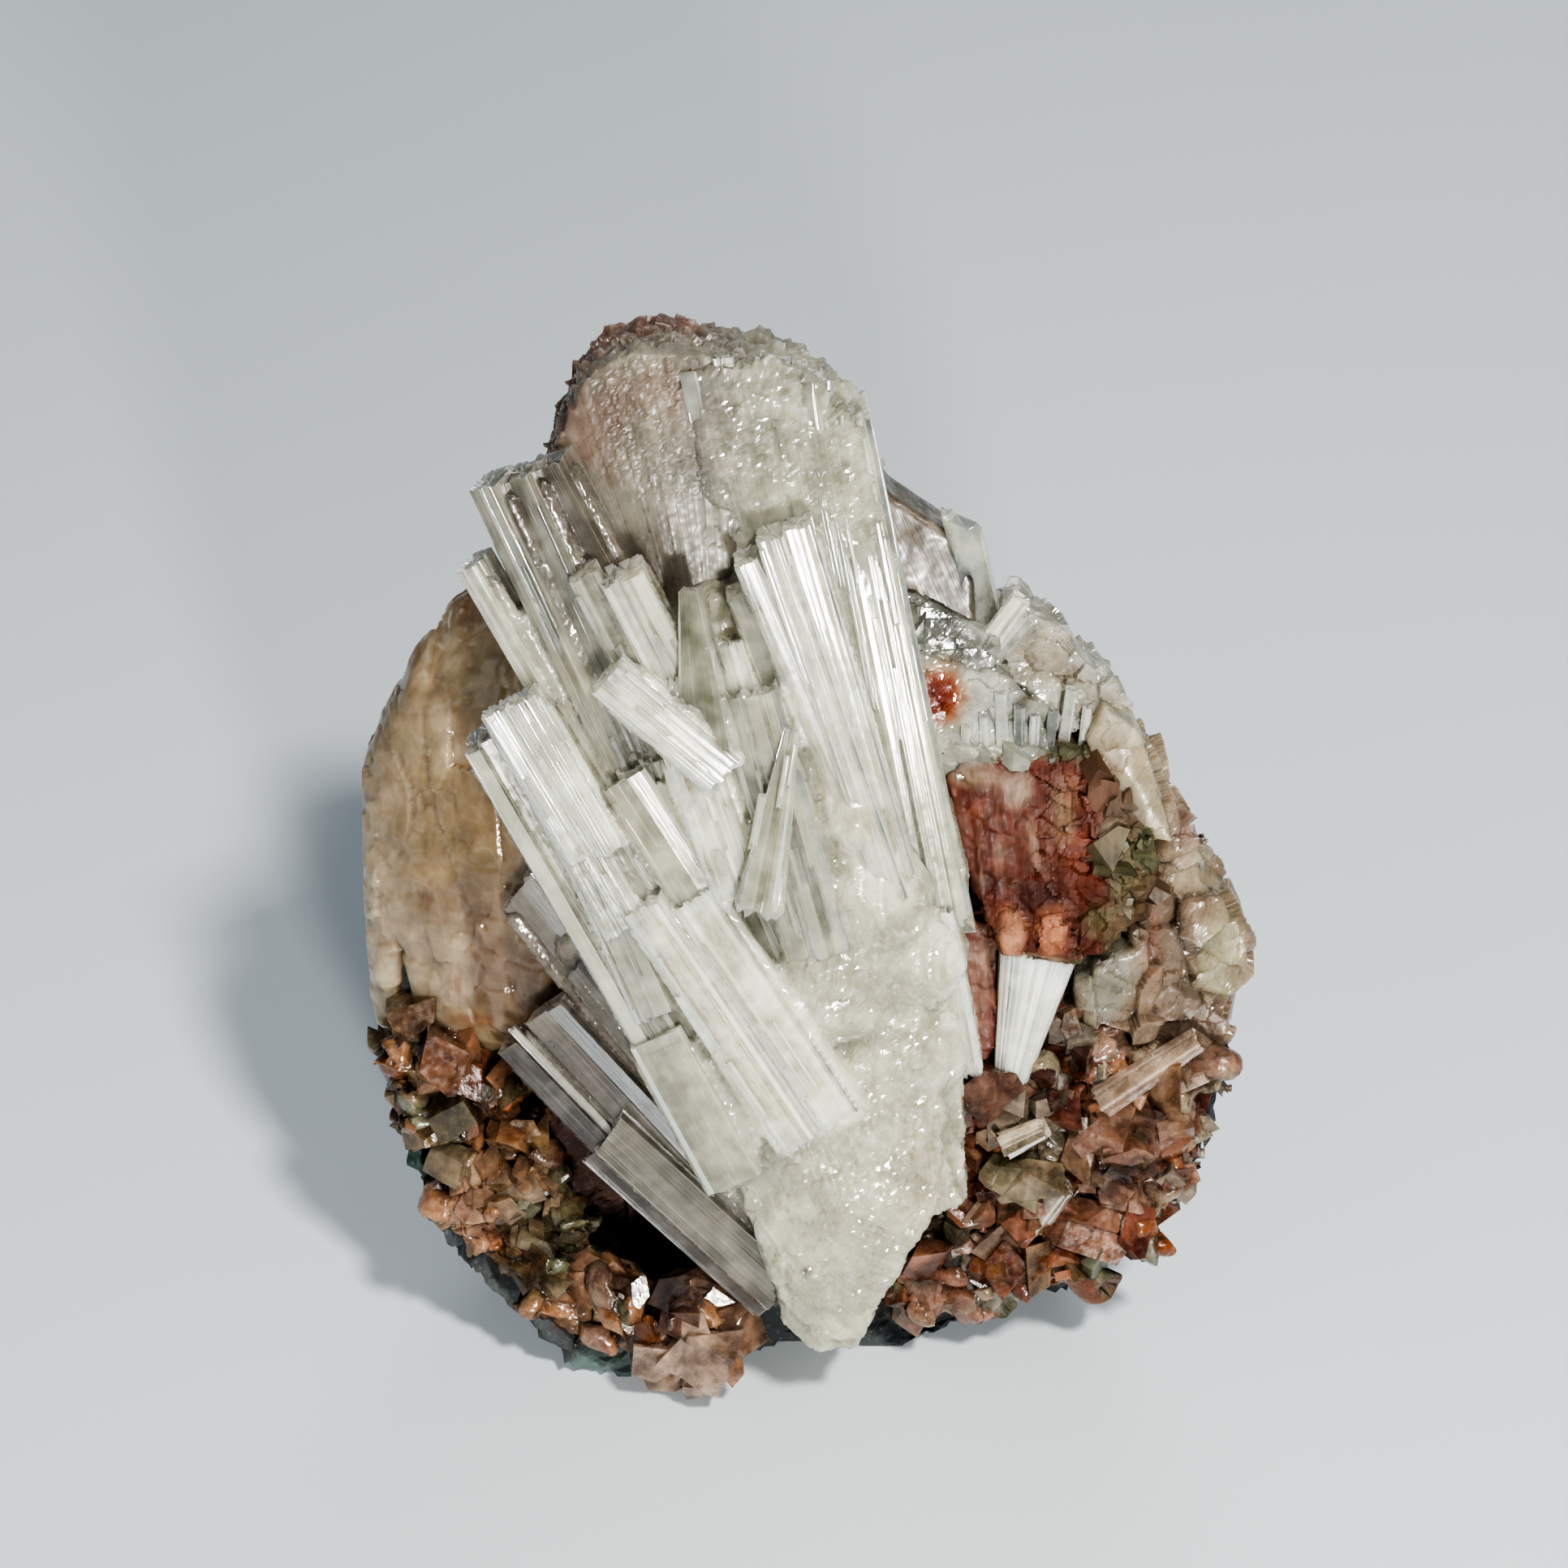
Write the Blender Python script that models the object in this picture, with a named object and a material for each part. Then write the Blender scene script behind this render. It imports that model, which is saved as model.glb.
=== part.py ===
"""Scolecite on apophyllite: a hand-sized mineral specimen. White scolecite prisms spray up from a
shell of dark basalt, between stilbite sheaves and crusts of blocky apophyllite.

Points are given on the specimen's face, in millimetres: right, up and out. The face leans back from
the vertical by FACE_LEAN, and its point 0, 0, 0 is at the front of the flat cut base. The model is in
metres, Z up. It rests on Z = 0, and the origin is the middle of the cut base."""

import math
import random

import bmesh
import bpy
import numpy as np
from mathutils import Euler, Vector

MM = 0.001
FACE_LEAN = math.radians(20.0)
# The middle of the cut base, to the right of the face's point 0, 0, 0 and behind it, in millimetres.
BASE_MIDDLE = (-5.0, 14.0)

# Clearance that is kept between neighbouring pieces, in millimetres.
GAP = 0.35
# Crystals end this far above the plane that the specimen stands on.
FOOT_CLEARANCE = 0.5
# How far a crystal strays from its regular place, in millimetres, and how far it is turned, in radians.
STRAY = 0.1
STRAY_TURN = 0.012
# Neighbouring faces that differ by less than this are one crystal face.
SAME_FACE = math.radians(1.0)

# Prism section: flat at the back, with bevelled edges towards the front.
PRISM_SECTION = ((-1.0, -1.0), (1.0, -1.0), (1.0, 0.4), (0.66, 1.0), (-0.66, 1.0), (-1.0, 0.4))

# Basalt shell: its rim seen from the front (right, up), going clockwise from the lowest point.
SHELL_RIM = (
    (-9, -2), (-16, -2.5), (-22, -1.5), (-28, 3), (-33.5, 9), (-38.5, 16), (-41.5, 23), (-43, 31),
    (-43, 40), (-43, 50), (-42, 60), (-39, 70), (-34, 79), (-27, 87), (-18, 93), (-8, 96),
    (2, 94), (9, 89), (16, 83), (23, 77), (30, 70), (36, 60), (41, 50), (43, 40),
    (44, 29), (41, 19), (36, 12), (29, 7.5), (21, 5), (12, 1), (4, -1.5), (-3, -2),
)
SHELL_RIM_OUT = -1.0
SHELL_RIM_OUT_LOW_LEFT = 4.5
SHELL_MIDDLE = (-3, 42)
# How far in from the rim each ring lies, and how far out its surface is: the front is a shallow dish.
SHELL_FRONT_RINGS = ((0.93, -1.5), (0.78, -3.6), (0.5, -4.2), (0.22, -3.6))
SHELL_BACK_RINGS = ((1.0, -6.5), (0.93, -13.0), (0.78, -20.0), (0.55, -25.0), (0.25, -27.5))
SHELL_ROUGHNESS = 1.4
# The lower part of the back is thicker, so that the specimen stands upright.
SHELL_HEEL = 9.0
# Broken faces of the back: a point on each (right, up, out) and the way it looks (right, up, out).
SHELL_BREAKS = (
    ((24, 60, -14), (0.75, 0.35, -0.75)), ((-26, 62, -15), (-0.7, 0.3, -0.8)), ((0, 30, -31), (0.1, -0.25, -1)),
    ((28, 30, -22), (0.7, -0.2, -0.6)), ((-30, 28, -22), (-0.75, -0.1, -0.6)), ((2, 84, -12.5), (0.05, 0.75, -1)),
    ((-8, 58, -26), (-0.2, 0.2, -1)), ((13, 62, -23), (0.4, 0.3, -1)),
)
# The hollow at the lower left, between the crust and the spray.
HOLLOW = (-22, 20)
HOLLOW_DEPTH = 6.0
HOLLOW_REACH = 13.0


def at(point):
    """A point of the face, in metres in the world."""
    right, up, out = point
    y = up * math.sin(FACE_LEAN) - out * math.cos(FACE_LEAN)
    z = up * math.cos(FACE_LEAN) + out * math.sin(FACE_LEAN)
    return Vector((right - BASE_MIDDLE[0], y - BASE_MIDDLE[1], z)) * MM


def material(name, colour, roughness, metallic=0.0):
    made = bpy.data.materials.new(name)
    made.use_nodes = True
    shader = made.node_tree.nodes["Principled BSDF"]
    shader.inputs["Base Color"].default_value = (*colour, 1.0)
    shader.inputs["Roughness"].default_value = roughness
    shader.inputs["Metallic"].default_value = metallic
    return made


# Crystals, each a convex set of points in millimetres on the face.


def prism(base, tip, wide, deep, taper=0.9, slant=0.0, roll=0.0):
    """A long crystal from base to tip. Its end is cut across at a slant."""
    start = Vector(base)
    axis = Vector(tip) - start
    length = axis.length
    axis.normalize()
    side = axis.cross(Vector((0, 0, 1))).normalized()
    front = side.cross(axis)
    turned_side = side * math.cos(roll) + front * math.sin(roll)
    turned_front = front * math.cos(roll) - side * math.sin(roll)
    points = []
    for along, size in ((0.0, 1.0), (length, taper)):
        for across, outward in PRISM_SECTION:
            shift = slant * wide * across if along else 0.0
            points.append(
                start
                + axis * (along + shift)
                + turned_side * (across * size * wide / 2)
                + turned_front * (outward * size * deep / 2)
            )
    return points


def bundle(rng, base, tip, wide, deep, count, stagger, taper=0.9):
    """Prisms side by side, with stepped ends."""
    start, end = Vector(base), Vector(tip)
    axis = (end - start).normalized()
    side = axis.cross(Vector((0, 0, 1))).normalized()
    made = []
    for i in range(count):
        across = ((i + 0.5) / count - 0.5) * wide
        own_deep = deep * rng.uniform(0.9, 1.1)
        foot = start + side * across - axis * rng.uniform(0.0, stagger)
        head = end + side * across * taper + axis * rng.uniform(-1.0, 0.25) * stagger
        head.z += rng.uniform(-0.3, 0.3)
        own_wide = wide / count * rng.uniform(1.3, 1.55)
        slant = rng.uniform(-0.35, 0.35)
        roll = rng.uniform(-0.12, 0.12)
        made.append(prism(foot, head, own_wide, own_deep, taper, slant, roll))
    return made


def slab(outline, back, front, inset=0.86, bulge=0.0):
    """A plate with the given outline (right, up), a smaller front face and a bulge at its middle."""
    middle = Vector((sum(p[0] for p in outline), sum(p[1] for p in outline))) / len(outline)
    points = []
    for right, up in outline:
        points.append(Vector((right, up, back)))
        near = middle + (Vector((right, up)) - middle) * inset
        points.append(Vector((near.x, near.y, front)))
    if bulge:
        points.append(Vector((middle.x, middle.y, front + bulge)))
    return points


def lump(rng, centre, radius, squash=1.0, corners=12):
    """A rounded, faceted lump."""
    points = []
    turn = math.pi * (3 - math.sqrt(5))
    for i in range(corners):
        height = 1 - 2 * (i + 0.5) / corners
        ring = math.sqrt(1 - height * height)
        reach = radius * rng.uniform(0.85, 1.1)
        points.append(
            Vector(centre)
            + Vector((
                ring * math.cos(turn * i) * reach,
                ring * math.sin(turn * i) * reach,
                height * reach * squash,
            ))
        )
    return points


def block(rng, centre, size, pointed):
    """A blocky apophyllite crystal: a square prism with a flat or a pyramid end, turned at random."""
    half = size / 2
    tall = half * rng.uniform(0.85, 1.35)
    points = [Vector((x * half, y * half, -tall)) for x in (-1, 1) for y in (-1, 1)]
    if pointed:
        points += [Vector((x * half, y * half, tall * 0.25)) for x in (-1, 1) for y in (-1, 1)]
        points.append(Vector((0, 0, tall * 1.3)))
    else:
        points += [Vector((half, half, tall * 0.4)), Vector((half * 0.3, half * 0.3, tall))]
        points += [Vector((-half, half, tall)), Vector((half, -half, tall)), Vector((-half, -half, tall))]
    turn = Euler((rng.uniform(-0.8, 0.8), rng.uniform(-0.8, 0.8), rng.uniform(0, math.pi))).to_matrix()
    return [Vector(centre) + turn @ point for point in points]


def needle(rng, base, tip, wide):
    """A slender clear prism with a pointed end."""
    points = prism(base, tip, wide, wide * rng.uniform(0.7, 0.95), 0.92, 0.0, rng.uniform(-0.5, 0.5))
    points.append(Vector(tip) + (Vector(tip) - Vector(base)).normalized() * wide * 0.6)
    return points


# Meshes.


def hull_into(bm, points, grow):
    """Adds the convex hull of the points, with each of its faces moved out by grow millimetres."""
    own = bmesh.new()
    for point in points:
        own.verts.new(at(point))
    made = bmesh.ops.convex_hull(own, input=own.verts)
    inner = {item for item in made["geom_interior"] + made["geom_unused"] if item.is_valid}
    bmesh.ops.delete(own, geom=[v for v in inner if isinstance(v, bmesh.types.BMVert)], context="VERTS")
    bmesh.ops.recalc_face_normals(own, faces=own.faces)
    bmesh.ops.dissolve_limit(own, angle_limit=SAME_FACE, verts=own.verts, edges=own.edges)
    moved = {}
    if grow:
        for vert in own.verts:
            normals = np.array([face.normal[:] for face in vert.link_faces])
            push = np.linalg.lstsq(normals, np.full(len(normals), grow * MM), rcond=0.05)[0]
            reach = min(1.0, 2.5 * grow * MM / max(np.linalg.norm(push), 1e-9))
            moved[vert] = vert.co + Vector(push) * reach
    copies = {vert: bm.verts.new(moved.get(vert, vert.co)) for vert in own.verts}
    for face in own.faces:
        bm.faces.new([copies[vert] for vert in face.verts])
    own.free()


def object_of(name, bm):
    mesh = bpy.data.meshes.new(name)
    bm.to_mesh(mesh)
    bm.free()
    made = bpy.data.objects.new(name, mesh)
    bpy.context.scene.collection.objects.link(made)
    return made


def hulls_object(name, hulls, grow=0.0):
    bm = bmesh.new()
    for points in hulls:
        hull_into(bm, points, grow)
    return object_of(name, bm)


def combine(target, other, operation):
    """Joins other to target or cuts it away, and removes other."""
    step = target.modifiers.new("combine", "BOOLEAN")
    step.operation = operation
    step.solver = "EXACT"
    step.use_self = True
    step.object = other
    graph = bpy.context.evaluated_depsgraph_get()
    mesh = bpy.data.meshes.new_from_object(target.evaluated_get(graph))
    target.modifiers.clear()
    target.data = mesh
    bpy.data.objects.remove(other)


def keep_main_body(obj):
    """Crumbs that a neighbour cuts off, and hollows closed in between crystals, are left out."""
    bm = bmesh.new()
    bm.from_mesh(obj.data)
    bmesh.ops.triangulate(bm, faces=bm.faces)
    bodies = []
    seen = set()
    for first in bm.faces:
        if first in seen:
            continue
        body = {first}
        todo = [first]
        while todo:
            for edge in todo.pop().edges:
                for face in edge.link_faces:
                    if face not in body:
                        body.add(face)
                        todo.append(face)
        seen |= body
        bodies.append(body)

    def volume(body):
        total = 0.0
        for face in body:
            a, b, c = (vert.co for vert in face.verts)
            total += a.dot(b.cross(c)) / 6
        return total

    main = max(bodies, key=volume)
    others = [face for face in bm.faces if face not in main]
    bmesh.ops.delete(bm, geom=others, context="FACES")
    bm.to_mesh(obj.data)
    bm.free()


def strayed(rng, points):
    """The same crystal, a little shifted and turned."""
    points = [Vector(point) for point in points]
    middle = sum(points, Vector()) / len(points)
    turn = Euler([rng.uniform(-STRAY_TURN, STRAY_TURN) for _ in range(3)]).to_matrix()
    shift = middle + Vector([rng.uniform(-STRAY, STRAY) for _ in range(3)])
    return [shift + turn @ (point - middle) for point in points]


def near(hull, hulls):
    """Whether the box round hull meets the box round any of hulls."""
    low = Vector([min(p[i] for p in hull) - 1 for i in range(3)])
    high = Vector([max(p[i] for p in hull) + 1 for i in range(3)])
    for other in hulls:
        if all(
            min(p[i] for p in other) <= high[i] and max(p[i] for p in other) >= low[i]
            for i in range(3)
        ):
            return True
    return False


# The basalt shell.


def cut_off(bm, point, facing):
    """Takes away what lies beyond the plane, and closes the cut."""
    everything = bm.verts[:] + bm.edges[:] + bm.faces[:]
    bmesh.ops.bisect_plane(bm, geom=everything, plane_co=point, plane_no=facing, clear_outer=True)
    bmesh.ops.holes_fill(bm, edges=[edge for edge in bm.edges if edge.is_boundary])
    bmesh.ops.triangulate(bm, faces=bm.faces)
    bmesh.ops.recalc_face_normals(bm, faces=bm.faces)


def shell_object(name, grow):
    """The shell, or a copy whose surface is moved out by grow millimetres. It is cut flat below."""
    rng = random.Random(7)
    bm = bmesh.new()
    count = len(SHELL_RIM)
    middle = Vector(SHELL_MIDDLE)
    rings = []
    levels = [(inset, out, True) for inset, out in reversed(SHELL_FRONT_RINGS)]
    levels += [(1.0, None, True)]
    levels += [(inset, out, False) for inset, out in SHELL_BACK_RINGS]
    for inset, out, is_front in levels:
        ring = []
        for i, (right, up) in enumerate(SHELL_RIM):
            spot = middle + (Vector((right, up)) - middle) * inset
            low_left = max(0.0, math.cos(math.radians(12) * (i - 4))) if i < 12 else 0.0
            rim_out = SHELL_RIM_OUT + (SHELL_RIM_OUT_LOW_LEFT - SHELL_RIM_OUT) * low_left
            level = rim_out if out is None else out
            if is_front and out is not None:
                level += (rim_out - SHELL_RIM_OUT) * max(0.0, inset - 0.8) * 4
                away = (spot - Vector(HOLLOW)).length / HOLLOW_REACH
                level -= HOLLOW_DEPTH * max(0.0, 1 - away * away)
            rough = SHELL_ROUGHNESS * (0.5 if is_front else 1.0)
            if not is_front:
                level -= SHELL_HEEL * max(0.0, 1 - max(up * inset, 0) / 60) * (1.0 if inset < 1 else 0.3)
            jitter = Vector([rng.uniform(-rough, rough) for _ in range(3)])
            ring.append(bm.verts.new(at(Vector((spot.x, spot.y, level)) + jitter)))
        rings.append(ring)
    front = bm.verts.new(at((*SHELL_MIDDLE, SHELL_FRONT_RINGS[-1][1])))
    back = bm.verts.new(at((*SHELL_MIDDLE, SHELL_BACK_RINGS[-1][1] - SHELL_HEEL * 0.4)))
    for i in range(count):
        j = (i + 1) % count
        bm.faces.new((front, rings[0][i], rings[0][j]))
        bm.faces.new((back, rings[-1][j], rings[-1][i]))
        for inner, outer in zip(rings, rings[1:]):
            bm.faces.new((inner[i], outer[i], outer[j], inner[j]))
    bmesh.ops.triangulate(bm, faces=bm.faces)
    bmesh.ops.recalc_face_normals(bm, faces=bm.faces)
    for point, facing in SHELL_BREAKS:
        cut_off(bm, at(point), (at(facing) - at((0, 0, 0))).normalized())
    bm.normal_update()
    if grow:
        shifts = {vert: vert.normal * grow * MM * 1.15 for vert in bm.verts}
        for vert, shift in shifts.items():
            vert.co += shift
    else:
        cut_off(bm, Vector((0, 0, 0)), Vector((0, 0, -1)))
    return object_of(name, bm)


# What grows on it.


def main_spray():
    """Long white prisms that fan out from the foot, over a massive base."""
    rng = random.Random(11)
    made = []
    # Broad right-hand slab with a toothed crest.
    made += bundle(rng, (14, 51, 7.5), (1.8, 107.5, 8.5), 4.6, 9, 2, 2.0)
    made += bundle(rng, (9.5, 46, 8), (-2.8, 111, 8.5), 5.6, 10, 2, 1.6)
    made += bundle(rng, (4, 44, 8), (-7.8, 111, 8.0), 6.2, 10, 2, 1.6)
    # Satin column standing proud of the slab.
    made += bundle(rng, (7.5, 60, 14.5), (-2.6, 96, 16.5), 6.4, 8, 3, 1.6)
    made.append(prism((-2, 77, 15), (-6, 90.5, 17.5), 2.8, 6, 1.0, 0.1))
    # Upper left bundle that overhangs the left sheaf.
    made += bundle(rng, (-9, 55, 13), (-31.2, 102.4, 17.5), 7.8, 6.0, 3, 1.4, 0.95)
    made += bundle(rng, (-7, 66, 12), (-25.5, 103, 15.5), 3.6, 5.5, 2, 1.2)
    made.append(prism((-22, 71, 14), (-32.9, 93, 17), 2.4, 4.5, 0.9, 0.3))
    # Stub prisms.
    made.append(prism((-14, 77, 16), (-21.5, 93, 19), 3.2, 5.0, 0.95, 0.25))
    made += bundle(rng, (-10.5, 77, 16), (-17.5, 93.2, 19.5), 4.8, 5.0, 2, 0.8, 1.0)
    # Block lying crosswise, and the smooth wedge beside it.
    made.append(prism((-9.5, 73.5, 21), (-20.5, 82.5, 21.5), 4.8, 5.0, 1.0, 0.15))
    made.append(prism((-10.5, 72, 19), (-11, 91, 20.5), 4.8, 6.0, 0.45, 0.3, 0.5))
    # Middle bundles.
    made += bundle(rng, (-2, 46, 14), (-16, 77, 18.5), 6.4, 6.0, 2, 1.5)
    made += bundle(rng, (0, 52, 15), (-10, 82, 19), 5.0, 6.0, 2, 1.5)
    made += bundle(rng, (4.5, 54, 15), (-4.5, 86, 18.5), 5.6, 6.5, 2, 1.8)
    # Slender pointed crystal, broad end down.
    made.append(prism((-5.2, 60.5, 22), (-1.2, 78, 21), 4.4, 4.5, 0.35, 0.2, 0.6))
    # Lower left bundle in stepped tiers.
    made += bundle(rng, (-6, 27, 13), (-31.5, 76.5, 17.5), 5.0, 6.5, 2, 1.2, 0.95)
    made += bundle(rng, (-1.5, 32, 13), (-28, 79.5, 17), 4.6, 6.0, 2, 1.4)
    made += bundle(rng, (-19.5, 65, 19.5), (-29.5, 80.5, 20.8), 6.2, 4.2, 3, 1.2, 1.0)
    made += bundle(rng, (-4.5, 33, 16), (-21.5, 62, 19.0), 5.2, 5.0, 2, 1.4)
    made += bundle(rng, (3.5, 32, 15), (-9.5, 61, 18.5), 6.8, 5.5, 3, 1.6)
    # Inner body that carries the prisms.
    made.append(prism((6, 20, 6), (-14, 80, 8), 22, 14, 0.85))
    made.append(prism((3, 24, 5), (-20, 66, 9), 16, 12, 0.7))
    made.append(prism((10, 22, 4), (9, 60, 5), 14, 12, 0.9))
    # Massive foot.
    foot = (
        (-11, 29), (-14, 40), (-3, 44), (12, 43), (16.5, 39), (16, 30), (13, 21), (9, 14), (7, 6.5),
        (1, 4.5), (-4, 9), (-6, 17),
    )
    made.append(slab(foot, -5, 14.5, 0.8, 3))
    made.append(slab(((-15, 41), (-6, 42), (-4, 30), (-10, 28)), 8, 19.5, 0.85))
    made.append(slab(((-4, 9), (1, 4.5), (7, 6.5), (9, 14), (5, 22), (-5, 18)), -4, 12, 0.8, 1.5))
    # Rounded boss and the milky lumps round it.
    made.append(lump(rng, (4.5, 66.5, 17.2), 4.6, 0.85, 22))
    for centre, radius in (
        ((6.5, 57, 15.2), 5.6), ((11.5, 50.5, 12.8), 5.4), ((1.5, 50, 16.4), 4.6), ((10.5, 41, 11.8), 5.6),
        ((5, 34, 14.2), 5.4), ((3, 23, 12.6), 5.0), ((8.5, 23, 9.5), 4.6), ((1.5, 12, 9.6), 4.6),
    ):
        made.append(lump(rng, centre, radius, 0.8, 14))
    made += bundle(rng, (10, 20, 9), (13.8, 49, 12.0), 5.0, 5.5, 2, 1.6, 0.9)
    # Shaded blades on the left, over the hollow.
    made += bundle(rng, (-10, 31, 9), (-30, 56.5, 10.5), 5.2, 3.6, 2, 1.2, 0.9)
    made += bundle(rng, (-8, 25, 7.5), (-29.5, 42.5, 9), 5.2, 3.4, 2, 1.4, 0.8)
    made += bundle(rng, (-1, 8, 7), (-22.5, 27.5, 8.5), 6.5, 5.0, 2, 1.4, 0.85)
    made.append(slab(((-22, 29), (-15, 36), (-8, 30), (-3, 13), (-13, 20)), 3, 10, 0.85))
    # Toothed crest of broken fibres.
    for i in range(8):
        right = 2.4 - 1.6 * i
        top = 112.6 - 0.55 * abs(right + 4) + rng.uniform(-1.0, 0.8)
        out = rng.uniform(6.5, 11.5)
        made.append(needle(rng, (right + 1.2, top - 6, out - 0.5), (right, top, out), rng.uniform(1.6, 2.3)))
    return made


def small_fan():
    """A small satin fan, open upwards."""
    rng = random.Random(5)
    made = []
    for i in range(5):
        share = i / 4
        foot = (20.0 + 2.6 * share, 35 + 0.6 * rng.random(), 4.5)
        head = (19.8 + 8.2 * share, 47.0 + 0.9 * rng.random() + 0.6 * share, 8.3)
        made.append(prism(foot, head, 2.2, 4.5, 1.15, rng.uniform(-0.2, 0.2)))
    made.append(slab(((18.8, 35.5), (19.5, 40), (25, 41), (24, 35.5), (21.5, 33.5)), -3, 5.5, 0.8))
    return made


def left_sheaf():
    """Honey coloured stilbite: broad rounded lobes side by side, with a scalloped lower edge."""
    lobes = (
        # foot (right, up), head (right, up), width, height of the crest
        ((-42.2, 35.5), (-42.6, 70), 8.6, 2.6),
        ((-40.0, 35), (-40.8, 75), 8.2, 4.4),
        ((-36.0, 33.5), (-37.8, 80), 9.0, 6.4),
        ((-31.5, 35), (-34.4, 84.5), 9.0, 8.0),
        ((-27.0, 36.5), (-31.0, 86.5), 9.4, 9.2),
        ((-21.5, 43), (-26.5, 86), 9.0, 9.6),
    )
    levels = ((0.0, 0.5, 0.3), (0.1, 0.85, 0.75), (0.5, 1.0, 1.0), (0.86, 0.95, 0.75), (1.0, 0.55, 0.25))
    section = ((-1.0, 0.3), (-0.7, 0.8), (-0.1, 1.0), (0.6, 0.85), (1.0, 0.35))
    back = -5.0
    made = []
    for (foot_right, foot_up), (head_right, head_up), wide, crest in lobes:
        half = wide / 2
        points = []
        for share, swell, level in levels:
            right = foot_right + (head_right - foot_right) * share
            up = foot_up + (head_up - foot_up) * share
            for across, outward in section:
                points.append(Vector((right + across * swell * half, up, back + (crest - back) * level * outward)))
            points.append(Vector((right - swell * half, up, back)))
            points.append(Vector((right + swell * half, up, back)))
        made.append(points)
    return made


def top_fan():
    """The translucent fan at the top: a smooth domed body with a toothed rim."""
    rng = random.Random(3)
    rim = (
        (-25, 92), (-24, 98), (-24.2, 103), (-22.6, 108), (-20, 111), (-16, 112.8), (-11, 112.5),
        (-5, 111), (-3, 100), (-6, 88), (-14, 82), (-22, 85),
    )
    made = []
    middle = Vector((-14, 100))
    points = []
    for inset, level in ((1.0, 0.5), (0.97, 6.5), (0.75, 11.0), (0.4, 13.0)):
        for right, up in rim:
            spot = middle + (Vector((right, up)) - middle) * inset
            droop = 0.22 * max(0.0, 97 - spot.y)
            points.append(Vector((spot.x, spot.y, level - droop)))
    made.append(points)
    for right, up in ((-23.6, 100), (-23.6, 105), (-21.4, 109), (-18, 111.6), (-14, 112.6), (-9.5, 112)):
        made.append(block(rng, (right, up, 4.5), rng.uniform(2.8, 3.6), False))
    # Lower flank that runs in behind the spray.
    made.append(slab(((-26, 97), (-31, 89), (-24, 82), (-18, 92)), -4, 6, 0.8))
    return made


def upper_right_leaf():
    """A smoky stilbite leaf behind the slab, with a clear block beside it."""
    rng = random.Random(9)
    made = [
        slab(((3, 104), (5.5, 104.5), (6.5, 100), (9, 95.5), (10, 86), (4, 86)), -3.5, 5.5, 0.85),
        slab(((6, 99), (9.5, 95.5), (14.5, 93), (16, 90), (14.5, 84), (6, 84)), -4, 6.5, 0.85, 0.6),
    ]
    made.append(prism((17.5, 84, 3), (15.2, 93, 4.5), 4.6, 5, 0.75, -0.3))
    made.append(prism((11, 82, 1), (9.5, 93, 4), 4, 5, 0.8, rng.uniform(-0.2, 0.2)))
    return made


def clear_cluster():
    """Colourless and pale tan crystals at the upper right, some of them needles."""
    rng = random.Random(21)
    made = [
        slab(((9, 84), (19, 85), (27, 80), (31.5, 75), (33, 68), (26, 64), (12, 65), (10, 74)), -5, 3.5, 0.94),
        prism((16.5, 79, 3), (20.8, 87.6, 6), 3.6, 3.8, 0.8, 0.3, 0.4),
        prism((14, 80, 3), (17.0, 85.5, 6.5), 3.4, 3.4, 0.8, -0.3, -0.3),
        prism((11, 78, 3), (12.5, 85.5, 6.0), 4.0, 3.2, 0.8, 0.2),
        prism((20, 77, 2), (24, 84.5, 5), 5.0, 4.4, 0.8, 0.2, 0.3),
        prism((24, 72, 2), (28.5, 79.5, 4.6), 5.2, 4, 0.8, 0.3, -0.2),
        prism((27, 68, 1), (31, 75.5, 3.2), 5.0, 4, 0.85, 0.2),
        prism((11.5, 72, 3), (13.5, 79, 7.0), 4.6, 4, 0.8, 0.1),
    ]
    for base, tip, wide in (
        ((18, 68, 2.5), (18.2, 77, 8), 2.0), ((20.6, 68, 2.5), (20.1, 75.5, 8.2), 1.9),
        ((15.8, 67, 2.5), (16.1, 73.5, 8.5), 1.9), ((25.2, 69, 2.5), (26.2, 78.5, 6.8), 2.0),
        ((27.8, 68.5, 2.5), (28.6, 75, 6), 1.8),
    ):
        made.append(needle(rng, base, tip, wide))
    for right, up, size in ((22, 86.0, 2.4), (25.5, 81.5, 2.6), (29.5, 77.5, 2.8), (31.5, 72, 2.6), (22.5, 80, 2.8)):
        made.append(block(rng, (right, up, rng.uniform(2.8, 4.6)), size, False))
    return made


def red_mass():
    """Brick red, striated heulandite with a rim of small green crystals and a thin sliver below."""
    rng = random.Random(31)
    made = [slab(((14.5, 71), (26, 72), (34, 66), (36, 57), (33, 48), (22, 47), (15.5, 55)), -5, 4.5, 0.9)]
    for i in range(5):
        right = 16.2 + 3.7 * i
        top = 71.2 - 0.25 * (i - 1) ** 2 + rng.uniform(-0.6, 0.6)
        foot = 54 + rng.uniform(-1.5, 2.0)
        slant = rng.uniform(-0.25, 0.25)
        made.append(prism((right, foot, 3.8), (right + 0.4, top, 6.0), 4.6, 5.5, 0.95, slant, rng.uniform(-0.2, 0.2)))
    for centre, size in (((18.8, 52.5, 4.8), 5.0), ((23, 51.5, 5.5), 5.0), ((25, 56, 6.0), 4.8), ((20.5, 57, 6.5), 4.6)):
        made.append(block(rng, centre, size, False))
    for i in range(8):
        turn = math.radians(-120 + 21 * i)
        right = 27.5 + 8.0 * math.cos(turn)
        up = 58.0 + 9.4 * math.sin(turn)
        made.append(block(rng, (right, up, 4.2 + rng.uniform(-0.6, 0.8)), rng.uniform(3.2, 4.0), i % 2 == 0))
    made.append(prism((17.8, 34.5, 2.0), (16.0, 53, 4.5), 3.6, 6.0, 1.1, 0.2))
    return made


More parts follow.
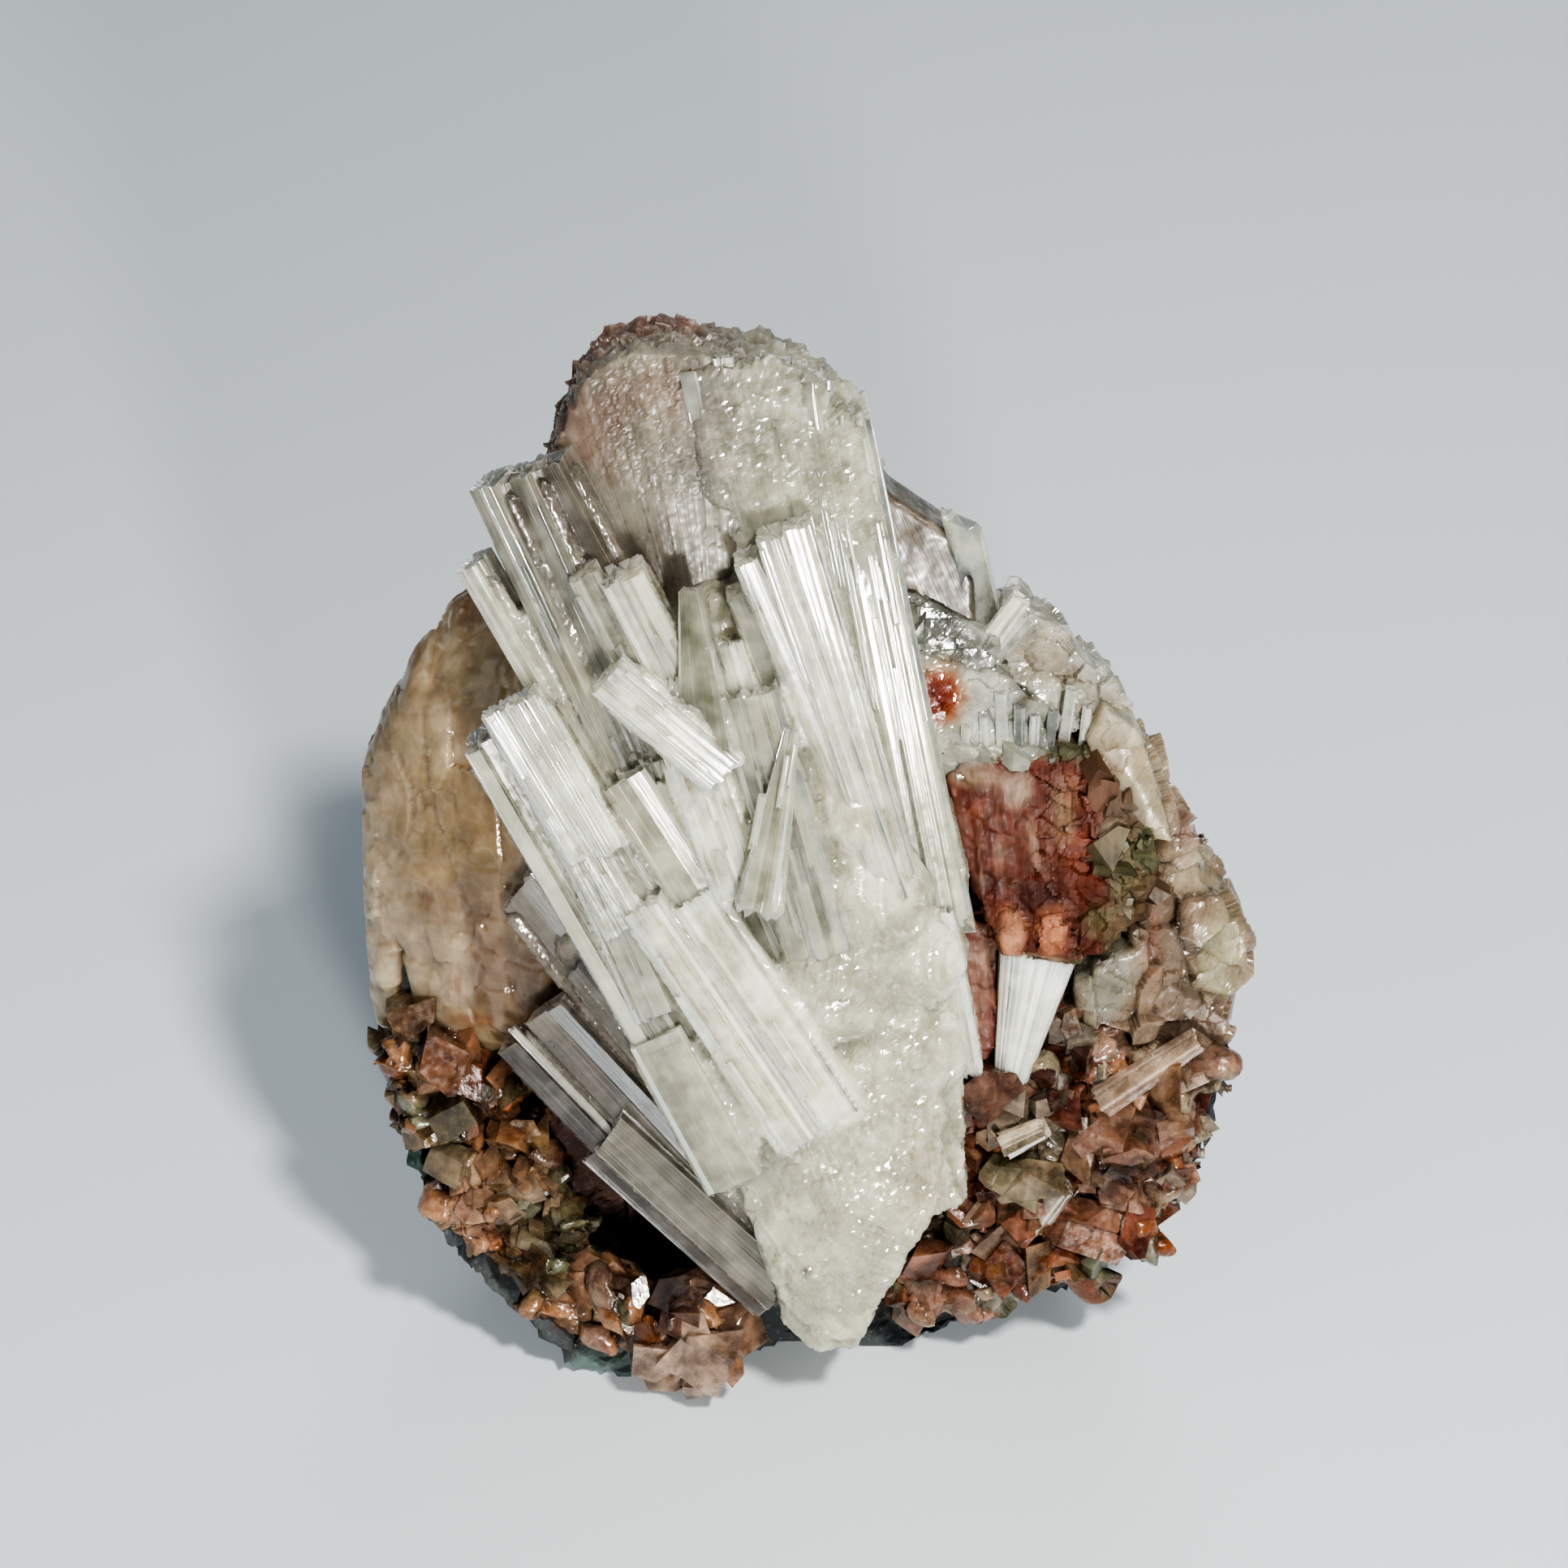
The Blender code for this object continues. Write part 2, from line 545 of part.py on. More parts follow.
def right_plates():
    """Pink and cream stilbite plates along the right edge, with a long pale blade above."""
    return [
        slab(((29, 73), (32.5, 74.5), (36, 69), (39.5, 60.5), (37, 57), (33.5, 61)), -2.5, 3.6, 0.82, 0.4),
        slab(((35, 57), (39.5, 57.5), (44, 55.5), (42, 46), (36, 41)), -4.5, 2.8, 0.86, 0.5),
        slab(((39, 54.5), (43.5, 56), (46.3, 51), (47.3, 46), (45, 42), (40, 44)), -4.5, 4.4, 0.78, 0.8),
        slab(((34.5, 49), (41, 49), (45.3, 44), (45.5, 38), (42, 33.5), (36, 35)), -4.5, 2.0, 0.86, 0.5),
        slab(((26.5, 52), (35.5, 51.5), (37.5, 44), (36.5, 38.5), (28.5, 39.5)), -5, 5.2, 0.84, 0.5),
        prism((36.5, 59.2, 1.8), (42.3, 60.4, 3.2), 2.4, 2.6, 0.9, 0.1),
        slab(((33, 66), (37, 66), (40, 60), (38, 55), (34, 57)), -4.5, 1.5, 0.9),
        slab(((35.5, 62), (39.5, 61), (43, 56.5), (40, 54)), -4.5, 2.6, 0.85),
    ]


def crust(rng, rows, low, high, out_low, out_high):
    """Blocky crystals at jittered spots along rows, each row given by its two ends and a count."""
    made = []
    for start, end, count in rows:
        for i in range(count):
            share = (i + 0.5) / count
            right = start[0] + (end[0] - start[0]) * share + rng.uniform(-0.7, 0.7)
            up = start[1] + (end[1] - start[1]) * share + rng.uniform(-0.7, 0.7)
            out = rng.uniform(out_low, out_high)
            made.append(block(rng, (right, up, out), rng.uniform(low, high), rng.random() < 0.4))
    return made


def bed(path, wide, back, front):
    """A strip of crust that carries the crystals along a path."""
    made = []
    for (right, up), (next_right, next_up) in zip(path, path[1:]):
        along = Vector((next_right - right, next_up - up)).normalized()
        side = Vector((-along.y, along.x)) * wide / 2
        points = []
        for x, y in ((right, up), (next_right, next_up)):
            for sign in (-1, 1):
                points.append(Vector((x + side.x * sign, y + side.y * sign, back)))
                points.append(Vector((x + side.x * sign * 0.8, y + side.y * sign * 0.8, front)))
        made.append(points)
    return made


def left_crust():
    """Peach and olive apophyllite in a crescent round the lower left hollow."""
    rng = random.Random(41)
    path = ((-39, 40), (-39.5, 31), (-37, 22.5), (-31.5, 14.5), (-25, 8), (-17.5, 4.5), (-11, 3.5))
    made = bed(path, 8.5, -7, 1.8)
    rows = (
        ((-42.2, 40), (-40.5, 26), 3), ((-40.3, 22.5), (-34.5, 13.5), 3), ((-33, 12.5), (-25.5, 6), 3),
        ((-24.5, 5), (-15, 2.2), 3), ((-38.5, 39), (-37, 27), 3), ((-36.5, 25), (-29.5, 14.5), 3),
        ((-28, 13), (-19, 7), 3), ((-35, 35), (-25.5, 14.5), 4),
    )
    made += crust(rng, rows, 4.0, 5.6, 1.2, 3.4)
    # Clear pink blocks at the lowest corner.
    for centre, size in (
        ((-20, 9.5, 5.5), 4.6), ((-17, 4.8, 5.8), 4.8), ((-13.6, 8, 6.8), 4.8), ((-11.2, 3.2, 6.6), 4.8),
        ((-9.4, 7.0, 6.2), 4.2),
    ):
        made.append(block(rng, centre, size, False))
    return made


def right_crust():
    """Red brown and clear apophyllite below the small fan."""
    rng = random.Random(43)
    bed_outline = (
        (17, 40), (28, 42), (42, 37.5), (43, 24), (37, 13), (29, 9), (20, 6), (10, 4), (11, 14), (15, 25),
    )
    made = [slab(bed_outline, -7, 0.8, 0.95)]
    rows = (
        ((24, 39), (30.5, 39), 2), ((18.5, 33), (42.5, 33.5), 5), ((18.5, 27.5), (43, 28), 5),
        ((17.5, 22), (41.5, 22.5), 5), ((15, 17), (37, 17.5), 4), ((12.5, 12), (31.5, 12.5), 4), ((11, 7.6), (21, 8.4), 2),
    )
    made += crust(rng, rows, 4.0, 6.0, 0.6, 3.2)
    made.append(prism((29, 34.5, 2.5), (43.5, 37, 4.5), 4.2, 4.0, 0.85, 0.3, 0.5))
    made.append(prism((31, 38, 1.5), (41, 31, 4.5), 3.6, 3.6, 0.85, 0.2, 0.4))
    made.append(prism((29, 13.5, 1.0), (38.5, 15.5, 2.6), 4.6, 4.2, 0.85, 0.2, 0.5))
    return made


NODES = (
    ("scolecite_spray", main_spray, (0.86, 0.87, 0.84), 0.25),
    ("scolecite_small_fan", small_fan, (0.88, 0.87, 0.80), 0.25),
    ("stilbite_left_sheaf", left_sheaf, (0.62, 0.50, 0.36), 0.35),
    ("stilbite_top_fan", top_fan, (0.66, 0.58, 0.52), 0.25),
    ("stilbite_upper_right_leaf", upper_right_leaf, (0.55, 0.48, 0.40), 0.3),
    ("clear_prism_cluster", clear_cluster, (0.72, 0.70, 0.64), 0.15),
    ("heulandite_red_mass", red_mass, (0.45, 0.14, 0.10), 0.3),
    ("stilbite_right_plates", right_plates, (0.68, 0.56, 0.48), 0.3),
    ("apophyllite_left_crust", left_crust, (0.48, 0.27, 0.17), 0.2),
    ("apophyllite_right_crust", right_crust, (0.45, 0.20, 0.13), 0.2),
)


def ground_object():
    """A block under the specimen, up to the height at which crystals end."""
    bm = bmesh.new()
    bmesh.ops.create_cube(bm, size=1.0)
    for vert in bm.verts:
        vert.co.x *= 300 * MM
        vert.co.y *= 300 * MM
        vert.co.z = (FOOT_CLEARANCE if vert.co.z > 0 else -40) * MM
    return object_of("ground", bm)


def build():
    for obj in list(bpy.data.objects):
        bpy.data.objects.remove(obj)
    shell = shell_object("basalt_shell", 0.0)
    shell.data.materials.append(material("basalt", (0.05, 0.06, 0.07), 0.8))
    earlier = []
    rng = random.Random(1)
    for name, shapes, colour, roughness in NODES:
        hulls = [strayed(rng, points) for points in shapes()]
        node = hulls_object(name, hulls[:1])
        combine(node, hulls_object("rest", hulls[1:]), "UNION")
        combine(node, shell_object("shell_cutter", GAP), "DIFFERENCE")
        if min(vert.co.z for vert in node.data.vertices) < FOOT_CLEARANCE * MM:
            combine(node, ground_object(), "DIFFERENCE")
        cutters = [hull for hull in earlier if near(hull, hulls)]
        if cutters:
            combine(node, hulls_object("cutter", cutters, GAP), "DIFFERENCE")
        keep_main_body(node)
        node.data.materials.clear()
        node.data.materials.append(material(name, colour, roughness))
        earlier += hulls


build()
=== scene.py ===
"""Looks of the mineral specimen: striated scolecite, fibrous stilbite, crusts of small clear crystals and
rough basalt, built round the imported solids."""

import itertools
import math

import bmesh
import bpy
import numpy as np
from mathutils import Matrix, Vector


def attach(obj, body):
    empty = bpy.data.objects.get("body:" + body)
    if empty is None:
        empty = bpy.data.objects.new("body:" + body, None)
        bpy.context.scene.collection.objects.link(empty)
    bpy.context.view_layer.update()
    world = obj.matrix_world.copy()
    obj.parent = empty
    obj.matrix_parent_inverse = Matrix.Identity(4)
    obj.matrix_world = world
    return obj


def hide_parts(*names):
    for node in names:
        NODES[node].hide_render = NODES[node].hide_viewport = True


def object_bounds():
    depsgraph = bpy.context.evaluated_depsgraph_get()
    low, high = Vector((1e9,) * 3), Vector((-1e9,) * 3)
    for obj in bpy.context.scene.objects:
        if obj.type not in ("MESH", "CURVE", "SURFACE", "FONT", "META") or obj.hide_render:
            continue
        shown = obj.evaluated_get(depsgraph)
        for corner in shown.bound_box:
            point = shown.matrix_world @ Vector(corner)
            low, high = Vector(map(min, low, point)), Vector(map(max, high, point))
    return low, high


MM = 0.001
FACE_LEAN = math.radians(20.0)
BASE_MIDDLE = np.array((-5.0, 14.0, 0.0))
LEAN_SIN, LEAN_COS = math.sin(FACE_LEAN), math.cos(FACE_LEAN)
# Rows turn a point of the face (right, up, out) into x, y and z.
FACE_AXES = np.array(((1, 0, 0), (0, LEAN_SIN, -LEAN_COS), (0, LEAN_COS, LEAN_SIN)), float)
OUT = np.array((0.0, 0.0, 1.0))


def to_world(points):
    """Points of the face in millimetres, as points of the world in metres."""
    return (np.asarray(points, float) @ FACE_AXES.T - BASE_MIDDLE) * MM


def to_face(points):
    """Points of the world in metres, as points of the face in millimetres."""
    return (np.asarray(points, float) / MM + BASE_MIDDLE) @ FACE_AXES


def unit(vector):
    return vector / np.linalg.norm(vector, axis=-1, keepdims=True).clip(1e-9)


# Patterns in space.


def scatter(cells, seed):
    """A repeatable random number from 0 to 1 for each whole-number cell."""
    x, y, z = (cells[..., i].astype(np.int64) for i in range(3))
    mixed = (x * 73856093) ^ (y * 19349663) ^ (z * 83492791) ^ (seed * 2654435761)
    mixed = (mixed ^ (mixed >> 13)) * 1274126177
    mixed = (mixed ^ (mixed >> 16)) * 668265263
    return ((mixed >> 8) & 0xFFFF) / 65535.0


def cloud(points, seed=0):
    """Smooth noise from -1 to 1."""
    cell = np.floor(points).astype(np.int64)
    share = points - cell
    share = share * share * (3 - 2 * share)
    total = np.zeros(len(points))
    for corner in itertools.product((0, 1), repeat=3):
        step = np.array(corner)
        weight = np.prod(np.where(step, share, 1 - share), axis=1)
        total += weight * (scatter(cell + step, seed) * 2 - 1)
    return total


def clouds(points, seed=0, octaves=3):
    """Noise with finer and finer detail."""
    total = np.zeros(len(points))
    for i in range(octaves):
        total += cloud(points * 2.03**i + 17.3 * i, seed + i) / 2**i
    return total / (2 - 2 ** (1 - octaves))


def cells(points, seed=0):
    """By point: its offset from its cell's centre, three random numbers of the cell, how near the edge is."""
    home = np.floor(points).astype(np.int64)
    best = np.full(len(points), 1e9)
    second = np.full(len(points), 1e9)
    offset = np.zeros_like(points)
    own = np.zeros_like(points)
    for step in itertools.product((-1, 0, 1), repeat=3):
        cell = home + np.array(step)
        centre = cell + np.stack([scatter(cell, seed + i) for i in range(3)], axis=1)
        away = points - centre
        far = np.einsum("ij,ij->i", away, away)
        closer = far < best
        second = np.where(closer, best, np.minimum(second, far))
        best = np.where(closer, far, best)
        offset[closer] = away[closer]
        own[closer] = cell[closer]
    numbers = np.stack([scatter(own, seed + 7 + i) for i in range(3)], axis=1)
    return offset, numbers, np.sqrt(second) - np.sqrt(best)


def facets(points, size, seed=0):
    """Relief of small flat faces that tilt every way, in units of size."""
    offset, numbers, _ = cells(points / size, seed)
    return np.einsum("ij,ij->i", offset, numbers * 2 - 1) * size


# Meshes.

# Sizes of the remeshed faces of each body, in millimetres.
FACE_SIZE = {
    "spray": 0.44, "sheaf": 0.34, "dome": 0.3, "leaf": 0.28, "plates": 0.28, "blade": 0.26, "basalt": 0.78,
    "crust": 0.45, "red": 0.26, "cluster": 0.26,
}


class Pile:
    """The points and faces of one mesh, with its grain and its colours.

    Points are on the face, in millimetres. Grain is across, along and a random number. The fourth number of a
    tint is how clear the mineral is there."""

    def __init__(self):
        self.points, self.grain, self.tint = [], [], []
        self.faces, self.soft = [], []
        self.count = 0

    def add(self, points, faces, grain, tint, clear, soft=False):
        tint = np.broadcast_to(np.asarray(tint, float), (len(points), 3))
        clear = np.broadcast_to(np.asarray(clear, float).reshape(-1, 1), (len(points), 1))
        self.points.append(points)
        self.grain.append(grain)
        self.tint.append(np.concatenate([tint, clear], axis=1))
        self.faces += [[self.count + i for i in face] for face in faces]
        soft = np.broadcast_to(soft, len(points))
        self.soft += [bool(soft[face[0]]) for face in faces]
        self.count += len(points)

    def add_mesh(self, mesh, points, grain, tint, clear=0.3, soft=True):
        self.add(points, [face.vertices[:] for face in mesh.polygons], grain, tint, clear, soft)


def made(name, pile, material, node):
    """The object of a pile. It rides on the specimen, in place of the node's solid."""
    mesh = bpy.data.meshes.new(name)
    points = np.clip(to_world(np.concatenate(pile.points)), BOX_LOW, BOX_HIGH)
    mesh.from_pydata(points.tolist(), [], pile.faces)
    grain = mesh.attributes.new("grain", "FLOAT_VECTOR", "POINT")
    grain.data.foreach_set("vector", np.concatenate(pile.grain).astype(np.float32).ravel())
    tint = np.concatenate(pile.tint).clip(0, 1)
    clear = mesh.attributes.new("clear", "FLOAT", "POINT")
    clear.data.foreach_set("value", tint[:, 3].astype(np.float32))
    tint[:, 3] = 1
    colour = mesh.attributes.new("tint", "FLOAT_COLOR", "POINT")
    colour.data.foreach_set("color", tint.astype(np.float32).ravel())
    mesh.polygons.foreach_set("use_smooth", pile.soft)
    mesh.materials.append(material)
    mesh.update()
    piece = bpy.data.objects.new(name, mesh)
    bpy.context.scene.collection.objects.link(piece)
    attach(piece, "root")
    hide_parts(node)


def read(mesh):
    """Points and normals of a mesh, on the face."""
    co = np.empty(len(mesh.vertices) * 3)
    mesh.vertices.foreach_get("co", co)
    no = np.empty(len(mesh.vertices) * 3)
    mesh.vertex_normals.foreach_get("vector", no)
    return to_face(co.reshape(-1, 3)), no.reshape(-1, 3) @ FACE_AXES


def even(mesh, voxel, smoothing):
    """The mesh with faces of one size, in millimetres, and its points and normals."""
    holder = bpy.data.objects.new("holder", mesh)
    bpy.context.scene.collection.objects.link(holder)
    remesh = holder.modifiers.new("remesh", "REMESH")
    remesh.mode, remesh.voxel_size, remesh.adaptivity = "VOXEL", voxel * MM, 0.0
    smooth = holder.modifiers.new("smooth", "SMOOTH")
    smooth.factor, smooth.iterations = 0.5, smoothing
    graph = bpy.context.evaluated_depsgraph_get()
    result = bpy.data.meshes.new_from_object(holder.evaluated_get(graph))
    bpy.data.objects.remove(holder)
    return result, *read(result)


def hulls_mesh(hulls):
    """One mesh of the convex hulls of sets of points."""
    bm = bmesh.new()
    for points in hulls:
        own = [bm.verts.new(point) for point in to_world(np.array(points, float))]
        result = bmesh.ops.convex_hull(bm, input=own)
        loose = {item for item in result["geom_interior"] + result["geom_unused"]}
        bmesh.ops.delete(bm, geom=[v for v in loose if isinstance(v, bmesh.types.BMVert)], context="VERTS")
    bmesh.ops.recalc_face_normals(bm, faces=bm.faces)
    mesh = bpy.data.meshes.new("hulls")
    bm.to_mesh(mesh)
    bm.free()
    return mesh


# Crystals.

# How a small crystal stands: its lean in radians, how uneven its three sizes are, and its turn to the front.
CRYSTAL_LEAN, CRYSTAL_STRETCH, CRYSTAL_FORWARD = 0.6, 0.3, 0.35


def crystal_axes(base, tip, roll=0.0):
    """A crystal's own directions, along, across and to the front, and its length."""
    axis = tip - base
    length = float(np.linalg.norm(axis))
    axis = axis / length
    side = unit(np.cross(axis, OUT))
    front = np.cross(side, axis)
    turned = side * math.cos(roll) + front * math.sin(roll)
    return axis, turned, front * math.cos(roll) - side * math.sin(roll), length


def section(rng, wide, deep, strand, relief):
    """Outline of a striated prism: two points for each strand, with its place round the outline."""
    a, b = wide / 2, deep / 2
    cut = rng.uniform(0.2, 0.36) * min(a, b)
    corners = np.array((
        (a, -b + cut), (a, b - cut), (a - cut, b), (-a + cut, b),
        (-a, b - cut), (-a, -b + cut), (-a + cut, -b), (a - cut, -b),
    ))
    points, strands, round_at = [], [], []
    number, walked = 0, 0.0
    for i in range(8):
        start, end = corners[i], corners[(i + 1) % 8]
        length = float(np.linalg.norm(end - start))
        along = (end - start) / length
        outward = np.array((along[1], -along[0]))
        at = 0.0
        while at < length - 0.05:
            own = min(float(np.exp(rng.normal(math.log(strand), 0.55))), 4 * strand)
            own = length - at if length - at - own < 0.6 * strand else own
            gap = min(0.05, 0.15 * own)
            sunk = 0.3 * relief * rng.random() ** 2
            tilt = own / 2 * float(np.clip(rng.normal() * 0.11, -0.25, 0.25))
            for share, lift in ((gap, -tilt), (own - gap, tilt)):
                points.append(start + along * (at + share) + outward * (lift - sunk))
                round_at.append(walked + at + share)
                strands.append(number)
            at += own
            number += 1
        walked += length
    return np.array(points), np.array(strands), np.array(round_at), number


def prism(pile, rng, base, tip, wide, deep, tint, strand=0.55, relief=0.14, stagger=0.8, taper=0.95, roll=0.0,
          slant=0.0, clear=0.75, breaks=0.16, shade=0.03, foot=0.5):
    """A striated crystal of strands grown together, some of them broken off on the way."""
    base, tip = np.array(base, float), np.array(tip, float)
    axis, side, front, length = crystal_axes(base, tip, roll)
    outline, strands, round_at, count = section(rng, wide, deep, strand, relief)
    size = np.maximum(np.linalg.norm(outline, axis=1), 1e-6)
    inward = -outline / size[:, None]
    first = rng.uniform(0.12, 0.5, count) * length
    second = rng.uniform(0.55, 0.93, count) * length
    drop_first = np.where(rng.random(count) < breaks, rng.uniform(0.03, 0.2, count) * min(1, deep / 4), 0.0)
    drop_second = np.where(rng.random(count) < breaks, rng.uniform(0.03, 0.25, count) * min(1, deep / 4), 0.0)
    wander = np.cumsum(rng.normal(size=count)) * 0.3
    jagged, waved = rng.random(count), np.sin(wander + rng.uniform(0, 6))
    end = length - stagger * (0.5 * jagged + 0.5 * (0.5 + 0.5 * waved))
    start = foot * rng.random(count)
    seed = rng.uniform(0, 60)
    whole, step = np.zeros(count), 0.04
    rings = (
        (start, whole), (first - step, whole), (first + step, drop_first), (second - step, drop_first),
        (second + step, drop_first + drop_second), (end, drop_first + drop_second),
    )
    rows, grains = [], []

    def row(along, drop, shrink):
        along, drop = along[strands] + slant * outline[:, 0] / wide, drop[strands]
        scale = (1 - (1 - taper) * (along / length).clip(0, 1)) * shrink
        middle = base + axis * along[:, None]
        flat = outline * scale[:, None] + inward * drop[:, None] * shrink
        rows.append(middle + side * flat[:, :1] + front * flat[:, 1:])
        grains.append(np.stack([round_at * shrink, along, np.full(len(along), seed)], axis=1))

    for shrink in (0.4, 0.75):
        row(start + rng.uniform(0, 0.6, count) * foot, whole, shrink)
    for along, drop in rings:
        row(along, drop, 1.0)
    rough = 0.45 * stagger + 0.15
    for shrink in (0.72, 0.36):
        row(end - rough * rng.random(count), drop_first, shrink)
    ends = np.array([rows[0].mean(axis=0), rows[-1].mean(axis=0)])
    end_grain = np.array([[0.0, 0.0, seed], [0.0, length, seed]])
    around, layers = len(outline), len(rows)
    last, low, high = (layers - 1) * around, layers * around, layers * around + 1
    faces = []
    for k in range(0, last, around):
        for i in range(around):
            j = (i + 1) % around
            faces.append((k + i, k + j, k + around + j, k + around + i))
    for i in range(around):
        j = (i + 1) % around
        faces.append((j, i, low))
        faces.append((last + i, last + j, high))
    varied = 1 + shade * rng.normal(size=count)
    colour = np.asarray(tint, float) * np.tile(varied[strands], layers)[:, None]
    colour = np.concatenate([colour, np.tile(np.asarray(tint, float), (2, 1))])
    clearness = (clear * np.exp(0.5 * rng.normal(size=count))).clip(0, 0.9)[strands]
    clearness = np.concatenate([np.tile(clearness, layers), (clear, clear)])
    pile.add(np.concatenate(rows + [ends]), faces, np.concatenate(grains + [end_grain]), colour, clearness)


def bundle(pile, rng, base, tip, wide, deep, tint, strand, relief, stagger, count):
    """Prisms side by side with stepped ends."""
    base, tip = np.array(base, float), np.array(tip, float)
    _, side, front, _ = crystal_axes(base, tip)
    axis = unit(tip - base)
    shares = rng.dirichlet(np.full(count, 5.0))
    at = -0.5
    for share in shares:
        middle = (at + share / 2) * wide
        at += share
        up = front * rng.uniform(-0.4, 0.4) * 0.5
        back = axis * stagger * rng.random()
        foot = base + side * middle + up + axis * rng.uniform(0, 1.0)
        head = tip + side * middle * 0.95 + up - back
        prism(pile, rng, foot, head, wide * share * 1.12, deep, tint, strand, relief)


def cut_shapes(rng, number, corners, jitter):
    """Faceted crystal shapes of about unit half size, as points and faces: boxes with corners cut off."""
    shapes = []
    axes = [np.array(v, float) for v in ((1, 0, 0), (-1, 0, 0), (0, 1, 0), (0, -1, 0), (0, 0, 1), (0, 0, -1))]
    for _ in range(number):
        bm = bmesh.new()
        bmesh.ops.create_cube(bm, size=4)
        planes = [(unit(axis + jitter * rng.normal(size=3)), rng.uniform(0.7, 1.05)) for axis in axes]
        planes += [(unit(rng.normal(size=3)), rng.uniform(0.85, 1.15)) for _ in range(corners)]
        for normal, distance in planes:
            geom = bm.verts[:] + bm.edges[:] + bm.faces[:]
            cut = bmesh.ops.bisect_plane(
                bm, geom=geom, plane_co=normal * distance, plane_no=normal, clear_outer=True
            )
            rim = [item for item in cut["geom_cut"] if isinstance(item, bmesh.types.BMEdge)]
            if len(rim) > 2:
                bmesh.ops.holes_fill(bm, edges=rim)
        bm.verts.index_update()
        points = np.array([v.co[:] for v in bm.verts])
        shapes.append((points, [[v.index for v in face.verts] for face in bm.faces]))
        bm.free()
    return shapes


def turned(rng, lean):
    """A random turn that leans an upright crystal by about lean radians."""
    around, tilt, spin = rng.uniform(0, 2 * math.pi), rng.normal() * lean, rng.uniform(0, math.pi)
    axis = Vector((math.cos(around), math.sin(around), 0))
    return np.array(Matrix.Rotation(tilt, 3, axis) @ Matrix.Rotation(spin, 3, "Z"))


def log_sizes(rng, low, high, count):
    """Random sizes with as many in each step of the same ratio."""
    return np.exp(rng.uniform(math.log(low), math.log(high), count))


def grow(pile, rng, spots, normals, sizes, tints, tall, clear):
    """Faceted crystals that stand on a surface, with painted shade at their feet and painted light at their
    tops.
    """
    for spot, normal, size, tint in zip(spots, normals, sizes, tints):
        shape, faces = SHAPES[rng.integers(len(SHAPES))]
        up = unit(normal * (1 - CRYSTAL_FORWARD) + OUT * CRYSTAL_FORWARD)
        side = unit(np.cross(up, np.array((0.3, 1.0, 0.2))))
        basis = np.stack([side, np.cross(up, side), up], axis=1)
        scale = size / 2 * np.exp(rng.normal(size=3) * CRYSTAL_STRETCH) * np.array((1, 1, tall))
        local = (shape * scale) @ turned(rng, CRYSTAL_LEAN).T
        points = local @ basis.T + spot
        level = (local[:, 2] / np.abs(local[:, 2]).max()).clip(-1, 1)
        # Painted shade and light: the lower points of each crystal are darker, the upper ones lighter.
        painted_light_and_shade = (0.85 + 0.4 * level + 0.15 * rng.normal(size=len(level))).clip(0.2, None)
        tones = np.asarray(tint) * painted_light_and_shade[:, None]
        see = (clear * (1.0 + 0.3 * level)).clip(0, 0.9)
        pile.add(points, faces, points * 0.5 + rng.uniform(0, 30), tones, see)


def spread(rng, mesh, count, keep):
    """Random spots on a mesh with their normals, on the face, of those for which keep is true."""
    mesh.calc_loop_triangles()
    co, _ = read(mesh)
    tris = np.array([t.vertices[:] for t in mesh.loop_triangles])
    a, b, c = (co[tris[:, i]] for i in range(3))
    cross = np.cross(b - a, c - a)
    area = np.linalg.norm(cross, axis=1)
    normals = cross / area[:, None].clip(1e-12)
    chosen = rng.choice(len(tris), size=count, p=area / area.sum())
    r, s = np.sqrt(rng.random((count, 1))), rng.random((count, 1))
    spots = a[chosen] * (1 - r) + b[chosen] * r * (1 - s) + c[chosen] * r * s
    good = keep(spots, normals[chosen])
    return spots[good], normals[chosen][good]


def grown_relief(points, size, seed, depth=0.25, crease=0.3):
    """Relief of crystals grown together, three random numbers of each, and how far down in a crease it is."""
    offset, numbers, edge = cells(points / size, seed)
    tilt = np.einsum("ij,ij->i", offset, numbers * 2 - 1)
    sunk = np.clip(1 - edge / 0.22, 0, 1) ** 1.5
    return (tilt * 2 * depth + numbers[:, 0] * depth * 0.6 - sunk * crease) * size, numbers, sunk


# Materials.


